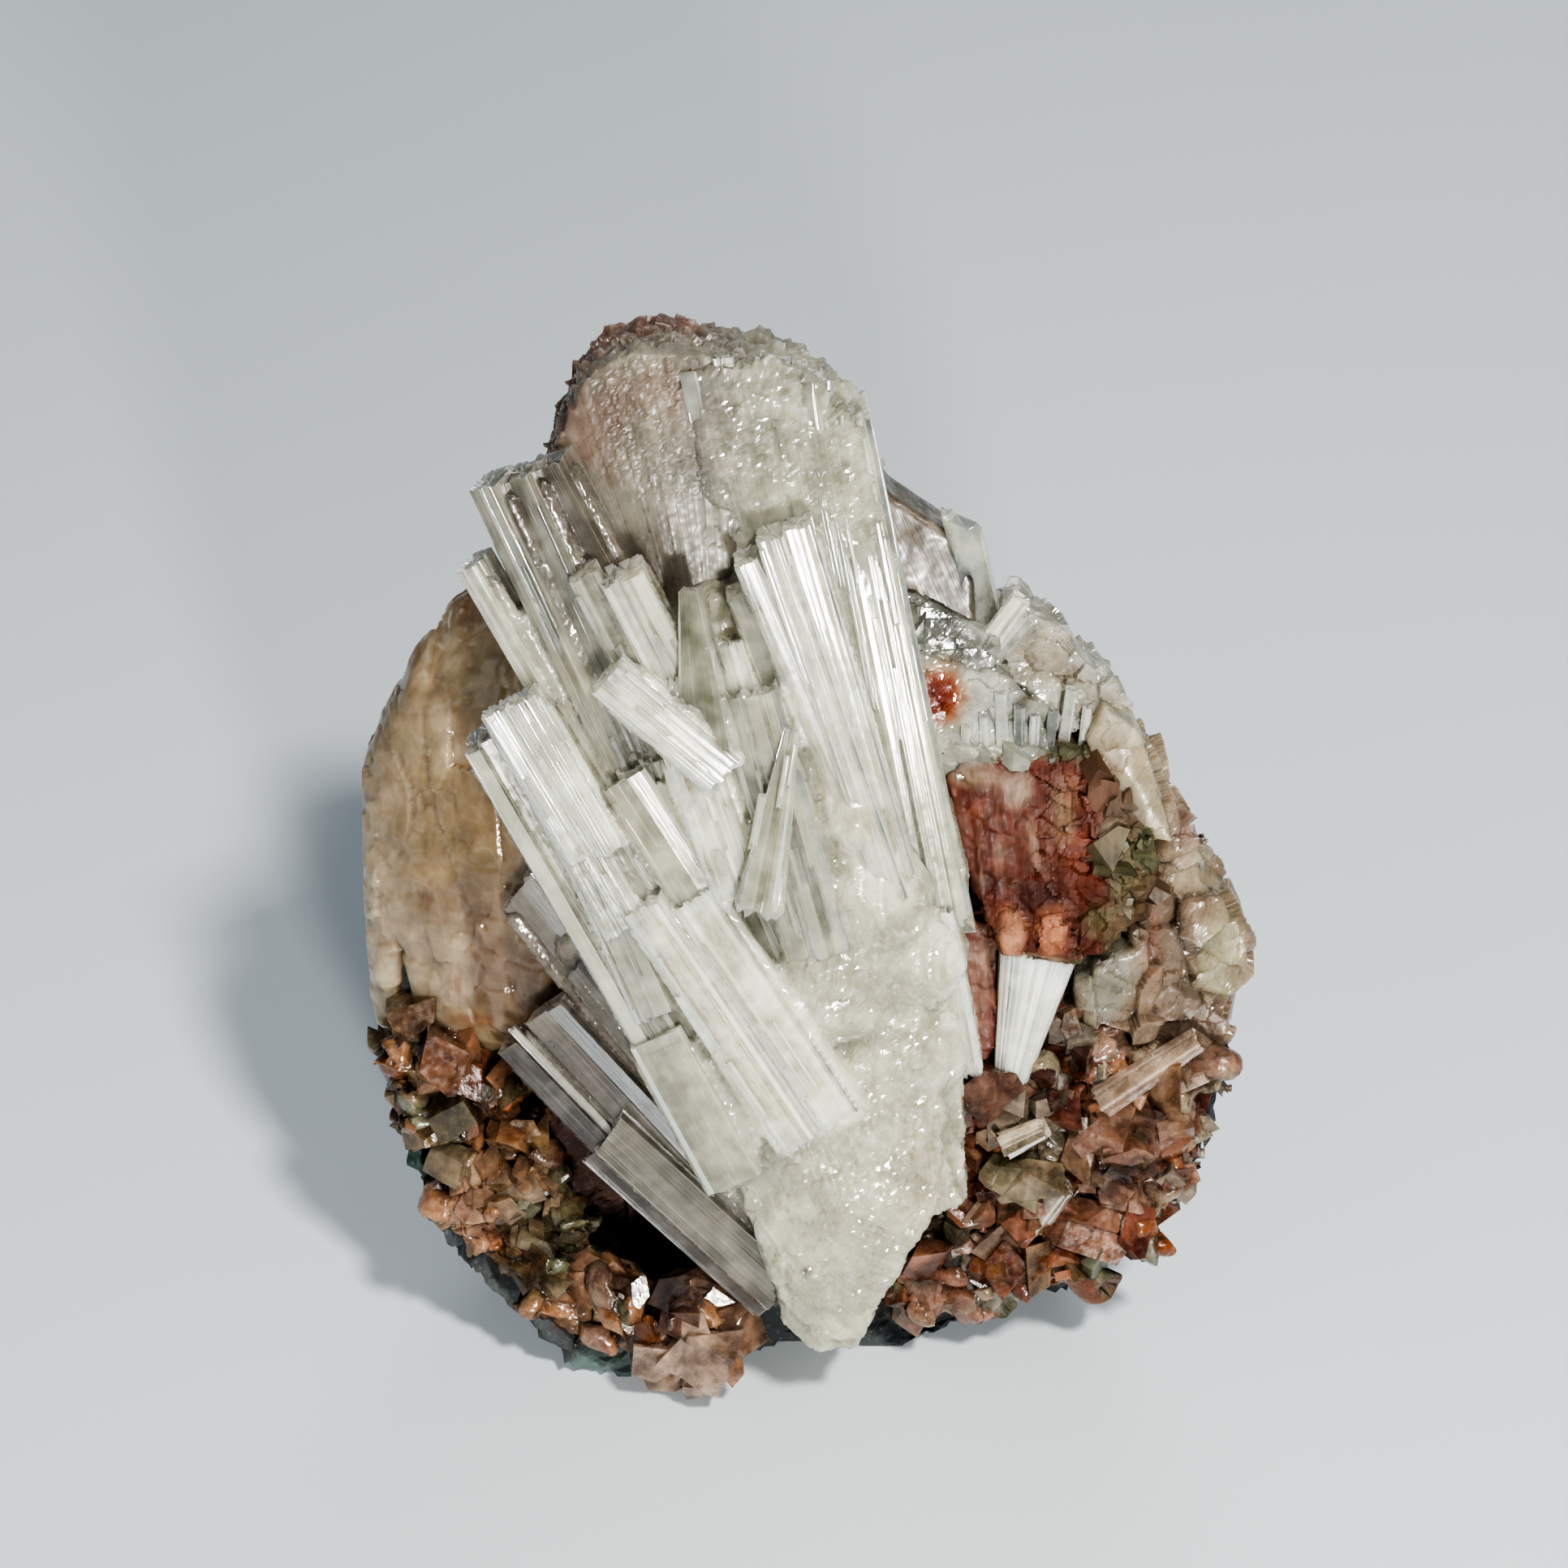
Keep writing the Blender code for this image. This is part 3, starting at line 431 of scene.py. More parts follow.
class Nodes:
    """A material's node tree, with short calls for the nodes that the materials share."""

    def __init__(self, name):
        self.material = bpy.data.materials.new(name)
        self.material.use_nodes = True
        self.tree = self.material.node_tree
        self.shader = self.tree.nodes["Principled BSDF"]

    def node(self, kind, **settings):
        node = self.tree.nodes.new(kind)
        for key, value in settings.items():
            setattr(node, key, value)
        return node

    def link(self, start, end):
        self.tree.links.new(start, end)

    def put(self, socket, value):
        if hasattr(value, "is_output"):
            self.link(value, socket)
        else:
            socket.default_value = value

    def attribute(self, name, output):
        return self.node("ShaderNodeAttribute", attribute_name=name).outputs[output]

    def scaled(self, vector, scale):
        node = self.node("ShaderNodeMapping")
        self.link(vector, node.inputs["Vector"])
        node.inputs["Scale"].default_value = scale
        return node.outputs["Vector"]

    def noise(self, vector, scale, detail=3.0, rough=0.55, swirl=0.0):
        node = self.node("ShaderNodeTexNoise")
        self.link(vector, node.inputs["Vector"])
        node.inputs["Scale"].default_value = scale
        node.inputs["Detail"].default_value = detail
        node.inputs["Roughness"].default_value = rough
        node.inputs["Distortion"].default_value = swirl
        return node.outputs["Fac"]

    def voronoi(self, vector, scale):
        node = self.node("ShaderNodeTexVoronoi")
        self.link(vector, node.inputs["Vector"])
        node.inputs["Scale"].default_value = scale
        return node.outputs["Distance"]

    def spread(self, value, low, high, to_low=0.0, to_high=1.0):
        node = self.node("ShaderNodeMapRange")
        self.link(value, node.inputs["Value"])
        for name, number in (("From Min", low), ("From Max", high), ("To Min", to_low), ("To Max", to_high)):
            node.inputs[name].default_value = number
        return node.outputs["Result"]

    def mix(self, share, a, b, blend="MIX"):
        node = self.node("ShaderNodeMix", data_type="RGBA", blend_type=blend)
        for socket, value in ((node.inputs[0], share), (node.inputs[6], a), (node.inputs[7], b)):
            if isinstance(value, tuple):
                value = (*value, 1.0)
            self.put(socket, value)
        return node.outputs[2]

    def math(self, operation, a, b):
        node = self.node("ShaderNodeMath", operation=operation)
        self.put(node.inputs[0], a)
        self.put(node.inputs[1], b)
        return node.outputs[0]

    def bump(self, height, distance, before=None):
        node = self.node("ShaderNodeBump")
        self.link(height, node.inputs["Height"])
        node.inputs["Distance"].default_value = distance
        if before is not None:
            self.link(before, node.inputs["Normal"])
        return node.outputs["Normal"]

    def set(self, **values):
        names = {
            "colour": "Base Color", "roughness": "Roughness", "ior": "IOR", "clear": "Transmission Weight",
            "glow": "Subsurface Weight", "glow_reach": "Subsurface Scale", "normal": "Normal",
            "coat": "Coat Weight", "coat_roughness": "Coat Roughness", "specular": "Specular IOR Level",
        }
        for key, value in values.items():
            if isinstance(value, tuple):
                value = (*value, 1.0)
            self.put(self.shader.inputs[names[key]], value)


APOPHYLLITE_IOR = 1.536


def mineral(name, roughness, haze, lines, line_depth, streaks, veils, marble, glow, glow_reach, ior=1.52,
            coat=0.2, sparkle=0.0, specular=0.5):
    """A mineral that takes its colour and clearness from its points, and its striation from the grain.

    Lines is how dense the striation is across, along and from crystal to crystal. Veils and marble are how
    strong the pale clouds and the swirls in it are, and haze is their colour. Line depth, glow reach and
    sparkle are in metres."""
    n = Nodes(name)
    place = n.node("ShaderNodeTexCoord").outputs["Object"]
    grain = n.attribute("grain", "Vector")
    tint = n.attribute("tint", "Color")
    strands = n.noise(n.scaled(grain, lines), 1.0, 2.0, 0.6)
    clouds_in_it = n.noise(place, 230.0, 2.0, 0.6)
    swirls = n.noise(place, 520.0, 2.0, 0.65, 1.2)
    dust = n.noise(place, 1500.0, 0.0)
    pale = n.mix(0.2, n.mix(1.0, tint, (1.5, 1.5, 1.5), "MULTIPLY"), haze)
    colour = n.mix(n.spread(clouds_in_it, 0.42, 0.68, 0.0, veils), tint, pale)
    deeper = n.mix(1.0, colour, (0.5, 0.45, 0.4), "MULTIPLY")
    colour = n.mix(n.spread(swirls, 0.55, 0.35, 0.0, marble), colour, deeper)
    colour = n.mix(n.spread(swirls, 0.55, 0.75, 0.0, marble), colour, pale)
    darker = n.mix(1.0, colour, (0.6, 0.57, 0.52), "MULTIPLY")
    colour = n.mix(n.spread(strands, 0.55, 0.35, 0.0, streaks), colour, darker)
    colour = n.mix(n.spread(strands, 0.55, 0.7, 0.0, streaks), colour, pale)
    mixed = n.math("ADD", n.math("MULTIPLY", strands, 0.6), n.math("MULTIPLY", dust, 0.4))
    rough = n.spread(mixed, 0.35, 0.65, roughness[0], roughness[1])
    see = n.math("MULTIPLY", n.attribute("clear", "Fac"), n.spread(clouds_in_it, 0.35, 0.65, 1.0, 0.55))
    normal = n.bump(strands, line_depth)
    if sparkle:
        normal = n.bump(n.noise(place, 2000.0, 0.0), sparkle, before=normal)
    n.set(colour=colour, roughness=rough, ior=ior, clear=see, glow=glow, glow_reach=glow_reach, normal=normal,
          coat=coat, coat_roughness=0.08, specular=specular)
    n.shader.inputs["Subsurface Radius"].default_value = (1.0, 0.9, 0.75)
    return n.material


def basalt():
    n = Nodes("basalt")
    place = n.node("ShaderNodeTexCoord").outputs["Object"]
    patches = n.noise(place, 90.0, 5.0, 0.6)
    grains = n.voronoi(place, 1400.0)
    tint = n.attribute("tint", "Color")
    colour = n.mix(n.spread(patches, 0.4, 0.65), tint, n.mix(1.0, tint, (0.45, 0.5, 0.55), "MULTIPLY"))
    colour = n.mix(n.spread(grains, 0.0, 0.35, 0.25, 0.0), colour, (0.2, 0.22, 0.22))
    normal = n.bump(n.noise(place, 900.0, 5.0, 0.65), 0.00015)
    n.set(colour=colour, roughness=n.spread(patches, 0.3, 0.7, 0.6, 0.9), normal=normal)
    return n.material


def floor_material():
    n = Nodes("floor")
    place = n.node("ShaderNodeTexCoord").outputs["Object"]
    n.set(colour=n.mix(n.noise(place, 8.0), (0.585, 0.645, 0.68), (0.61, 0.67, 0.705)), roughness=0.75)
    return n.material


# Colours.

WHITE = np.array((0.455, 0.455, 0.35))
# The satin white is the scolecite white made brighter: the sheen of the satin bands is painted into it as
# painted highlight.
SATIN_PAINTED_SHEEN = np.array((0.81, 0.80, 0.66))
MILKY = np.array((0.43, 0.425, 0.33))
# Dark copies of the scolecite colour for prisms that lie in shade: painted shade and painted shadow.
GREY_IN_SHADE = np.array((0.17, 0.152, 0.12))
SHADED = np.array((0.10, 0.082, 0.066))
VIOLET_IN_SHADOW = np.array((0.04, 0.03, 0.026))


def blended(tint, other, share):
    """From one colour, of all points or of each, to another by a share for each point."""
    return tint + (np.array(other) - tint) * np.clip(share, 0, 1)[:, None]


def far_from(points, right, up, wide=1.0, tall=1.0):
    """How far points are from a spot of the face, seen from the front, in half sizes of an ellipse."""
    return np.hypot((points[:, 0] - right) / wide, (points[:, 1] - up) / tall)


def patched(points, tint, patches, seed=0, ragged=0.45, gain=2.5):
    """Tint with patches of colour. Each has its middle (right, up), half sizes, colour and strength."""
    wobble = cloud(points / 2.4, seed) * 0.7 + cloud(points / 0.9, seed + 5) * 0.3
    for *ellipse, colour, strength in patches:
        share = np.clip((1.15 - far_from(points, *ellipse) + ragged * wobble) * gain, 0, 1) * strength
        tint = blended(tint, colour, share)
    return tint


def painted_shade(points, tint, patches, seed):
    """Tint multiplied by soft patches of painted shade."""
    return tint * patched(points, (1.0, 1.0, 1.0), patches, seed, 0.3, 1.1)


# Pieces.

SPRAY_PRISMS = (
    # base, tip, wide, deep, colour, prisms in it, width of a strand, relief, stagger, other settings
    # Broad right-hand slab.
    ((11.0, 50, 8.0), (-0.2, 107, 8.2), 13.6, 9, WHITE, 1, 0.5, 0.06, 3.0,
     {"breaks": 0.3, "clear": 0.3, "taper": 0.9, "foot": 5}),
    ((16.4, 37, 8.5), (13.0, 56, 11.5), 3.6, 5, SATIN_PAINTED_SHEEN, 2, 0.4, 0.14, 1.2, {}),
    # Satin column standing proud of the slab.
    ((9.4, 60, 14.3), (-1.2, 97, 15.6), 3.2, 6, SATIN_PAINTED_SHEEN, 1, 0.35, 0.16, 0.5, {}),
    ((8.8, 58, 14.6), (-3.9, 96, 16.2), 3.0, 7, SATIN_PAINTED_SHEEN, 1, 0.35, 0.2, 0.6, {}),
    ((7.4, 60, 14.2), (-6.3, 93.7, 16.6), 2.6, 6.5, SATIN_PAINTED_SHEEN, 1, 0.4, 0.16, 0.5, {}),
    ((-1, 75, 14.5), (-6.6, 90.3, 17.0), 3.4, 5.0, MILKY, 1, 2.5, 0.04, 0.1, {}),
    # Upper left bundle that overhangs the left sheaf.
    # Its darker tints are painted shade from the dome above it.
    ((-8.4, 54, 12.5), (-28.4, 102.6, 16.2), 4.0, 6.0, (0.33, 0.32, 0.25), 1, 0.8, 0.16, 0.9, {"roll": 0.3}),
    ((-11.4, 55, 13.0), (-31.2, 101.6, 17.4), 3.4, 5.5, (0.36, 0.35, 0.275), 1, 0.7, 0.16, 0.8,
     {"roll": 0.4}),
    ((-14.6, 58, 13.0), (-33.0, 93.4, 17.4), 2.6, 5.0, MILKY, 1, 0.7, 0.12, 0.6, {"roll": 0.4}),
    ((-7, 66, 12), (-25.4, 103.4, 15.0), 3.6, 5.5, GREY_IN_SHADE, 1, 1.4, 0.08, 0.8, {"roll": 0.25}),
    # Stub prisms.
    ((-15.2, 78, 16), (-22.2, 92.8, 18.6), 3.2, 5.0, MILKY, 1, 0.8, 0.1, 0.5, {}),
    ((-11.2, 77, 16), (-18.6, 93.2, 19.2), 4.4, 5.0, SATIN_PAINTED_SHEEN, 2, 0.7, 0.14, 0.5, {}),
    # Block lying crosswise, and the smooth wedge beside it.
    ((-8.2, 72.5, 20.4), (-19.8, 82.8, 21.2), 4.8, 4.6, SATIN_PAINTED_SHEEN, 1, 0.35, 0.18, 0.4, {}),
    ((-9.6, 73.5, 19.5), (-11.6, 91, 20.0), 5.6, 5.4, (0.38, 0.385, 0.31), 1, 3.0, 0.04, 0.2,
     {"taper": 0.35, "roll": 0.25}),
    # Middle bundles.
    ((-4.6, 68, 15.5), (-9.2, 85.5, 17.5), 5.2, 4.6, SATIN_PAINTED_SHEEN, 2, 0.4, 0.16, 0.9, {}),
    ((-3, 44, 13), (-15, 75, 15.8), 10.0, 6.0, MILKY, 2, 0.9, 0.12, 1.5, {}),
    ((-10.6, 58.6, 17.3), (-18.4, 71.6, 18.0), 5.4, 4.4, MILKY, 1, 1.4, 0.08, 0.6, {}),
    ((-6.9, 59.4, 18.0), (-12.4, 76, 18.9), 5.4, 4.2, SATIN_PAINTED_SHEEN, 1, 0.4, 0.16, 0.8, {}),
    ((1.2, 52, 15), (-6.6, 82, 18), 6.2, 6.5, MILKY, 2, 0.8, 0.14, 1.4, {}),
    # Slender pointed crystal, broad end down.
    ((-4.9, 58.6, 21.5), (-1.6, 77.2, 20.8), 4.4, 3.8, MILKY, 1, 1.0, 0.06, 0.4, {"taper": 0.3, "roll": 0.2}),
    # Lower left bundle in stepped tiers.
    ((-6.5, 27, 13), (-32.0, 76.2, 17.2), 5.6, 6.5, MILKY, 2, 0.9, 0.14, 0.9, {}),
    ((-1.5, 32, 13), (-28, 79.3, 16.8), 5.2, 6.0, MILKY, 2, 0.7, 0.16, 1.2, {}),
    ((-19.6, 64.2, 18.9), (-28.2, 80.6, 20.0), 3.4, 4.0, SATIN_PAINTED_SHEEN, 1, 0.3, 0.18, 0.6, {}),
    ((-22.4, 63.4, 18.7), (-31.0, 79.2, 19.8), 3.4, 4.0, SATIN_PAINTED_SHEEN, 1, 0.35, 0.18, 0.7, {}),
    ((-18.4, 55.4, 17.6), (-26.4, 71, 18.4), 4.6, 4.0, SATIN_PAINTED_SHEEN, 1, 0.3, 0.2, 0.9, {}),
    ((-15.4, 46, 16.0), (-23.5, 66, 17.6), 4.6, 5.0, MILKY, 1, 0.7, 0.16, 1.0, {}),
    ((3.2, 34.4, 15.4), (-12.0, 59.5, 17.8), 5.4, 5.5, SATIN_PAINTED_SHEEN, 1, 0.32, 0.2, 1.0, {}),
    ((-0.6, 32.0, 15.8), (-17.0, 59.0, 18.0), 4.8, 5.5, SATIN_PAINTED_SHEEN, 1, 0.35, 0.2, 1.0, {}),
    ((-7.4, 27.4, 15.0), (-15.6, 44, 16.4), 6.0, 5.0, MILKY, 1, 3.5, 0.03, 0.2, {}),
    # Blades on the left, over the hollow, with painted shade and painted shadow in their dark colours.
    ((-11, 32, 9.4), (-29.4, 58, 10.6), 6.4, 3.4, (0.22, 0.185, 0.145), 1, 1.5, 0.07, 0.8,
     {"clear": 0.4, "slant": 2, "roll": 0.4, "shade": 0.12}),
    ((-8, 31, 11), (-23.0, 51, 12.4), 6.0, 3.4, GREY_IN_SHADE, 1, 1.3, 0.07, 0.8,
     {"clear": 0.4, "slant": 2, "roll": 0.25, "shade": 0.12}),
    ((-10.5, 24.5, 8.6), (-27.4, 44.6, 9.8), 6.0, 3.2, SHADED, 1, 1.4, 0.08, 0.8,
     {"clear": 0.4, "roll": 0.3, "shade": 0.15}),
    ((-14.2, 22.4, 8.2), (-31.0, 42.0, 9.6), 0.9, 1.2, (0.42, 0.39, 0.33), 1, 2, 0.02, 0.8, {"clear": 0.4}),
    ((-15.4, 21.5, 7.0), (-31.2, 40.0, 8.2), 3.4, 3.2, VIOLET_IN_SHADOW, 1, 1.3, 0.08, 0.8,
     {"clear": 0.4, "roll": 0.3, "shade": 0.15}),
    ((-2.5, 12, 7.5), (-21.0, 31.0, 9.2), 6.0, 4.2, GREY_IN_SHADE, 1, 1.4, 0.08, 0.8,
     {"clear": 0.4, "slant": 1.5, "roll": 0.15, "shade": 0.15}),
    ((-4, 9, 6.0), (-22.6, 28.0, 7.4), 3.0, 3.4, SHADED, 1, 1.3, 0.08, 0.8,
     {"clear": 0.4, "roll": 0.2, "shade": 0.15}),
    ((-5.4, 8.2, 6.6), (-23.6, 26.6, 8.0), 0.7, 1.0, (0.36, 0.32, 0.27), 1, 2, 0.02, 0.8, {"clear": 0.4}),
)
# Prisms whose strands are wider than this have no broken strands on them.
COARSE_STRAND = 1.2
SPRAY_CORE = (
    ((6, 20, 6), (-14, 80, 8), 22, 14, 0.85), ((3, 24, 5), (-20, 66, 9), 16, 12, 0.7),
    ((10, 22, 4), (9, 60, 5), 14, 12, 0.9),
)
SPRAY_FOOT = (
    # outline (right, up), back, front, inset, bulge
    (((-11, 29), (-14, 40), (-3, 44), (12, 43), (17, 37), (16.5, 30), (16, 24), (13.2, 18.5), (9.2, 12),
     (6.4, 5), (1, 4.5), (-4, 9), (-6, 17)), -5, 14.5, 0.8, 3),
    (((-15, 41), (-6, 42), (-4, 30), (-10, 28)), 8, 17.5, 0.85, 0),
    (((-4, 9), (1, 4.5), (6.4, 5), (9.2, 12), (5, 22), (-5, 18)), -4, 12, 0.8, 1.5),
    (((-22, 29), (-15, 36), (-8, 30), (-3, 13), (-13, 20)), 3, 10, 0.85, 0),
)
SPRAY_LUMPS = (
    ((4.2, 66.4, 15.4), 4.4), ((6.0, 57, 13.2), 7.2), ((10.5, 50.5, 11.2), 6.4), ((2.5, 49, 12.6), 8.0),
    ((9.5, 40, 9.4), 7.8), ((5, 33, 10.6), 8.4), ((3, 23, 9.2), 7.4), ((1.0, 71, 12.8), 5.0),
    ((-16.5, 72, 13.4), 5.0), ((-21, 82, 11.5), 5.0), ((-8, 85, 11.5), 5.5), ((-9, 79, 13.5), 5.0),
    ((-22, 52, 9.5), 5.0),
)
# Soft patches of painted shade, where the dome and the overhanging bundles shade the prisms and the body.
SPRAY_PAINTED_SHADE = (
    (-26, 98, 10, 9, (0.2, 0.17, 0.14), 0.85), (-16, 91, 8, 6, (0.52, 0.48, 0.42), 0.8),
    (-9, 84, 5, 8, (0.78, 0.75, 0.7), 0.6), (3, 66, 6, 6, (0.68, 0.68, 0.64), 0.7),
    (3, 55, 7, 7, (0.82, 0.82, 0.79), 0.5), (-24, 36, 9, 14, (0.8, 0.76, 0.7), 0.5),
    (-18, 68, 4, 6, (0.8, 0.78, 0.75), 0.5), (12, 26, 4, 9, (0.95, 0.86, 0.8), 0.6),
)
BODY_PATCHES = ((0, 17, 0.6, 0.6, (0.10, 0.09, 0.08), 0.7), (5.5, 66, 1.6, 2, (0.50, 0.42, 0.32), 0.5))
BROAD_SLAB = (
    (-12.5, 112.4), (-4, 112.6), (0, 111.4), (3.2, 108.6), (5.6, 103), (9, 87), (14, 69), (17, 58),
    (16.2, 42), (8, 42), (-6, 75), (-12, 92), (-14.5, 104),
)
SLAB_ROW = ((16.2, 45, 8), (-1.8, 112, 8), 16, 9, WHITE)
DOME = (
    (-26.6, 99.5), (-25.4, 105), (-23.4, 109.6), (-21.6, 112), (-17, 114.4), (-13, 114.3), (-6, 113),
    (-2, 102), (-3, 84), (-6, 73), (-13, 72), (-18, 80), (-23, 91),
)
# The red-brown rim at the top left is the dome's own colour; the near-black patches low down are painted
# shade in the hollow behind the prisms.
DOME_COLOURS_AND_SHADE = (
    (-25, 98, 5, 9, (0.1, 0.05, 0.03), 0.8), (-21, 106, 6, 6, (0.16, 0.095, 0.065), 0.75),
    (-13, 109, 6, 4, (0.21, 0.13, 0.095), 0.6), (-16, 90, 10, 6, (0.085, 0.072, 0.052), 0.85),
    (-12, 101, 6, 5, (0.22, 0.207, 0.168), 0.5), (-13, 80, 9, 9, (0.05, 0.04, 0.028), 0.85),
)


def slab_points(outline, back, front, inset, bulge):
    """Corners of a slab whose front is smaller by inset, with one more in the middle if it bulges."""
    outline = np.array(outline, float)
    middle = outline.mean(axis=0)
    near = middle + (outline - middle) * inset
    rows = [np.column_stack([outline, np.full(len(outline), back)]),
            np.column_stack([near, np.full(len(outline), front)])]
    if bulge:
        rows.append(np.array([[*middle, front + bulge]]))
    return np.concatenate(rows)


def slabs_mesh(rows):
    return hulls_mesh([slab_points(*row) for row in rows])


def ball_points(centre, radius, squash=0.85, corners=40):
    i = np.arange(corners)
    height = 1 - 2 * (i + 0.5) / corners
    ring = np.sqrt(1 - height * height)
    turn = math.pi * (3 - math.sqrt(5)) * i
    ball = np.column_stack([ring * np.cos(turn), ring * np.sin(turn), height * squash])
    return np.array(centre) + ball * radius


def prism_points(base, tip, wide, deep, taper):
    base, tip = np.array(base, float), np.array(tip, float)
    _, side, front, _ = crystal_axes(base, tip)
    rows = []
    for spot, size in ((base, 1.0), (tip, taper)):
        for across, outward in itertools.product((-1, 1), repeat=2):
            rows.append(spot + side * across * size * wide / 2 + front * outward * size * deep / 2)
    return np.array(rows)


def along_strands(points, rows):
    """For points of a body of long crystals, by the crystal that each is nearest to: how far it is from it,
    its place across and along it, its colour and its direction."""
    nearest = np.full(len(points), 1e9)
    grain, tint, axes = np.zeros((3, len(points), 3))
    for number, (base, tip, wide, deep, colour, *_) in enumerate(rows):
        base, tip = np.array(base, float), np.array(tip, float)
        axis, side, front, length = crystal_axes(base, tip)
        local = points - base
        across, outward, along = local @ side, local @ front, local @ axis
        beside = np.clip(np.abs(across) - wide / 2, 0, None)
        far = np.hypot(beside, 0.6 * np.clip(np.abs(outward) - deep / 2, 0, None))
        far = np.hypot(far, np.clip(np.maximum(-along, along - length), 0, None))
        closer = far < nearest
        nearest[closer] = far[closer]
        own = np.column_stack([across + 0.9 * outward, along, np.full(len(points), number * 9.0)])
        grain[closer] = own[closer]
        tint[closer] = colour
        axes[closer] = axis
    return nearest, grain, tint, axes


def spray():
    rng = np.random.default_rng(11)
    pile = Pile()
    for base, tip, wide, deep, tint, count, strand, relief, stagger, more in SPRAY_PRISMS:
        if count == 1:
            prism(pile, rng, base, tip, wide, deep, tint, strand, relief, stagger, **more)
        else:
            bundle(pile, rng, base, tip, wide, deep, tint, strand, relief, stagger, count)
    # Thin broken strands that lie on the bundles.
    for base, tip, wide, deep, tint, _, own_strand, *_ in SPRAY_PRISMS:
        if wide < 3 or own_strand > COARSE_STRAND:
            continue
        base, tip = np.array(base), np.array(tip)
        axis, side, front, length = crystal_axes(base, tip)
        for _ in range(int(wide * 0.9)):
            across = rng.uniform(-0.42, 0.42) * wide
            low = rng.uniform(0.05, 0.7) * length
            high = min(low + rng.uniform(0.12, 0.45) * length, length - 0.5)
            rise = front * (deep / 2 + rng.uniform(-0.25, 0.05))
            spot = base + side * across + rise
            own_wide, own_deep = rng.uniform(0.25, 0.9), rng.uniform(0.3, 0.6)
            prism(pile, rng, spot + axis * low, spot + axis * high, own_wide, own_deep, np.array(tint) * 1.12,
                  0.3, 0.06, 0.4, clear=0.4, foot=0.6)
    # Ends of prisms along the crest.
    crest = np.array(BROAD_SLAB[:5], float)
    for _ in range(46):
        side_of = rng.integers(len(crest) - 1)
        edge = crest[side_of] + rng.random() * (crest[side_of + 1] - crest[side_of])
        aim = unit(edge - np.array((6.0, 40.0)) + rng.normal(size=2) * 4)
        tip = np.array((*(edge + aim * rng.uniform(-1.6, 0.5)), rng.uniform(6.5, 12.4)))
        base = tip - np.array((*aim, 0.05)) * rng.uniform(3.5, 6.5)
        prism(pile, rng, base, tip, rng.uniform(0.9, 1.9), 1.6, (0.52, 0.52, 0.44), 1.2, 0.04, 0.5, clear=0.6,
              taper=0.9, roll=rng.normal() * 0.4)
    # Painted shade: the colour is darkened and made less clear under the patches.
    for points, tint in zip(pile.points, pile.tint):
        painted_dimming = painted_shade(points, 1.0, SPRAY_PAINTED_SHADE, 3)
        tint[:, :3] *= painted_dimming
        tint[:, 3] *= 0.25 + 0.75 * painted_dimming[:, 0]
    return pile


def spray_body():
    """The bodies that the prisms grow out of, the broad slab with its sugary crest, and the foot."""
    pile = Pile()
    hulls = [slab_points(*row) for row in SPRAY_FOOT] + [slab_points(BROAD_SLAB, 3, 12.0, 0.95, 0.6)]
    hulls += [ball_points(centre, radius) for centre, radius in SPRAY_LUMPS]
    hulls += [prism_points(*row) for row in SPRAY_CORE]
    for base, tip, wide, deep, *_, more in SPRAY_PRISMS:
        base, tip = np.array(base, float), np.array(tip, float)
        back = np.array((0, 0, -0.7))
        end = tip - unit(tip - base) * 2.2
        if wide < 10:
            hulls.append(prism_points(base + back, end + back, wide * 1.16, deep, more.get("taper", 0.97)))
    mesh, points, normals = even(hulls_mesh(hulls), FACE_SIZE["spray"], 2)
    right, up, out = points.T
    nearest, grain, own, axes = along_strands(points, SPRAY_PRISMS + (SLAB_ROW,))
    sugar = np.clip((up - 93 + 0.3 * right) / 7, 0, 1) * np.clip((right + 12) / 2, 0, 1)
    stranded = np.clip(1.3 - nearest, 0, 1) * (1 - sugar)
    lines = grain / np.array((1.0, 30.0, 1.0))
    strands = 0.22 * facets(lines, 1.5, 5) + 0.2 * facets(lines * np.array((1, 2, 1)), 0.6, 9)
    massive = 0.6 * clouds(points / 5.5, 3) + 0.16 * facets(points, 2.4, 5) + 0.16 * facets(points, 1.0, 9)
    sugary = 0.8 + 0.35 * clouds(points / 4, 7) + 0.3 * facets(points, 1.3, 15)
    sugary += 0.26 * facets(points, 0.6, 19)
    teeth = np.clip(1.8 - edge_distance(points, BROAD_SLAB[:5]), 0, 1) * sugar
    sugary += teeth * (0.8 * facets(points, 1.9, 27) - 0.3)
    lift = strands * stranded + massive * (1 - stranded) * (1 - sugar) + sugary * sugar
    ends = np.abs(np.einsum("ij,ij->i", normals, axes)) * stranded
    torn = facets(np.column_stack([grain[:, 0], out, grain[:, 2]]), 1.1, 6) * 1.3
    points = points + normals * lift[:, None] + axes * (ends * torn)[:, None]
    # Painted shade: the body darkens towards the back and the left, where the prisms shade it.
    shade = np.clip((9.5 - out) / 8, 0, 1) * np.clip((2 - right) / 10, 0, 1)
    tint = blended(MILKY * 1.05, own * 0.93, stranded)
    tint = blended(tint, SHADED, shade * 0.8 * (1 - stranded))
    upper_left = np.clip((-3 - right) / 8, 0, 1) * np.clip((up - 88) / 6, 0, 1) * (out > 5)
    tint = blended(tint, (0.27, 0.25, 0.205), upper_left)
    tint = patched(points, tint, BODY_PATCHES, 3)
    # Painted shade from the same patches.
    tint = painted_shade(points, tint, SPRAY_PAINTED_SHADE, 3)
    tint = tint * (1 + 0.07 * cloud(lines * 1.4, 8) * stranded)[:, None]
    pile.add_mesh(mesh, points, grain, tint, 0.35 + 0.2 * sugar, stranded > 0.5)
    return pile


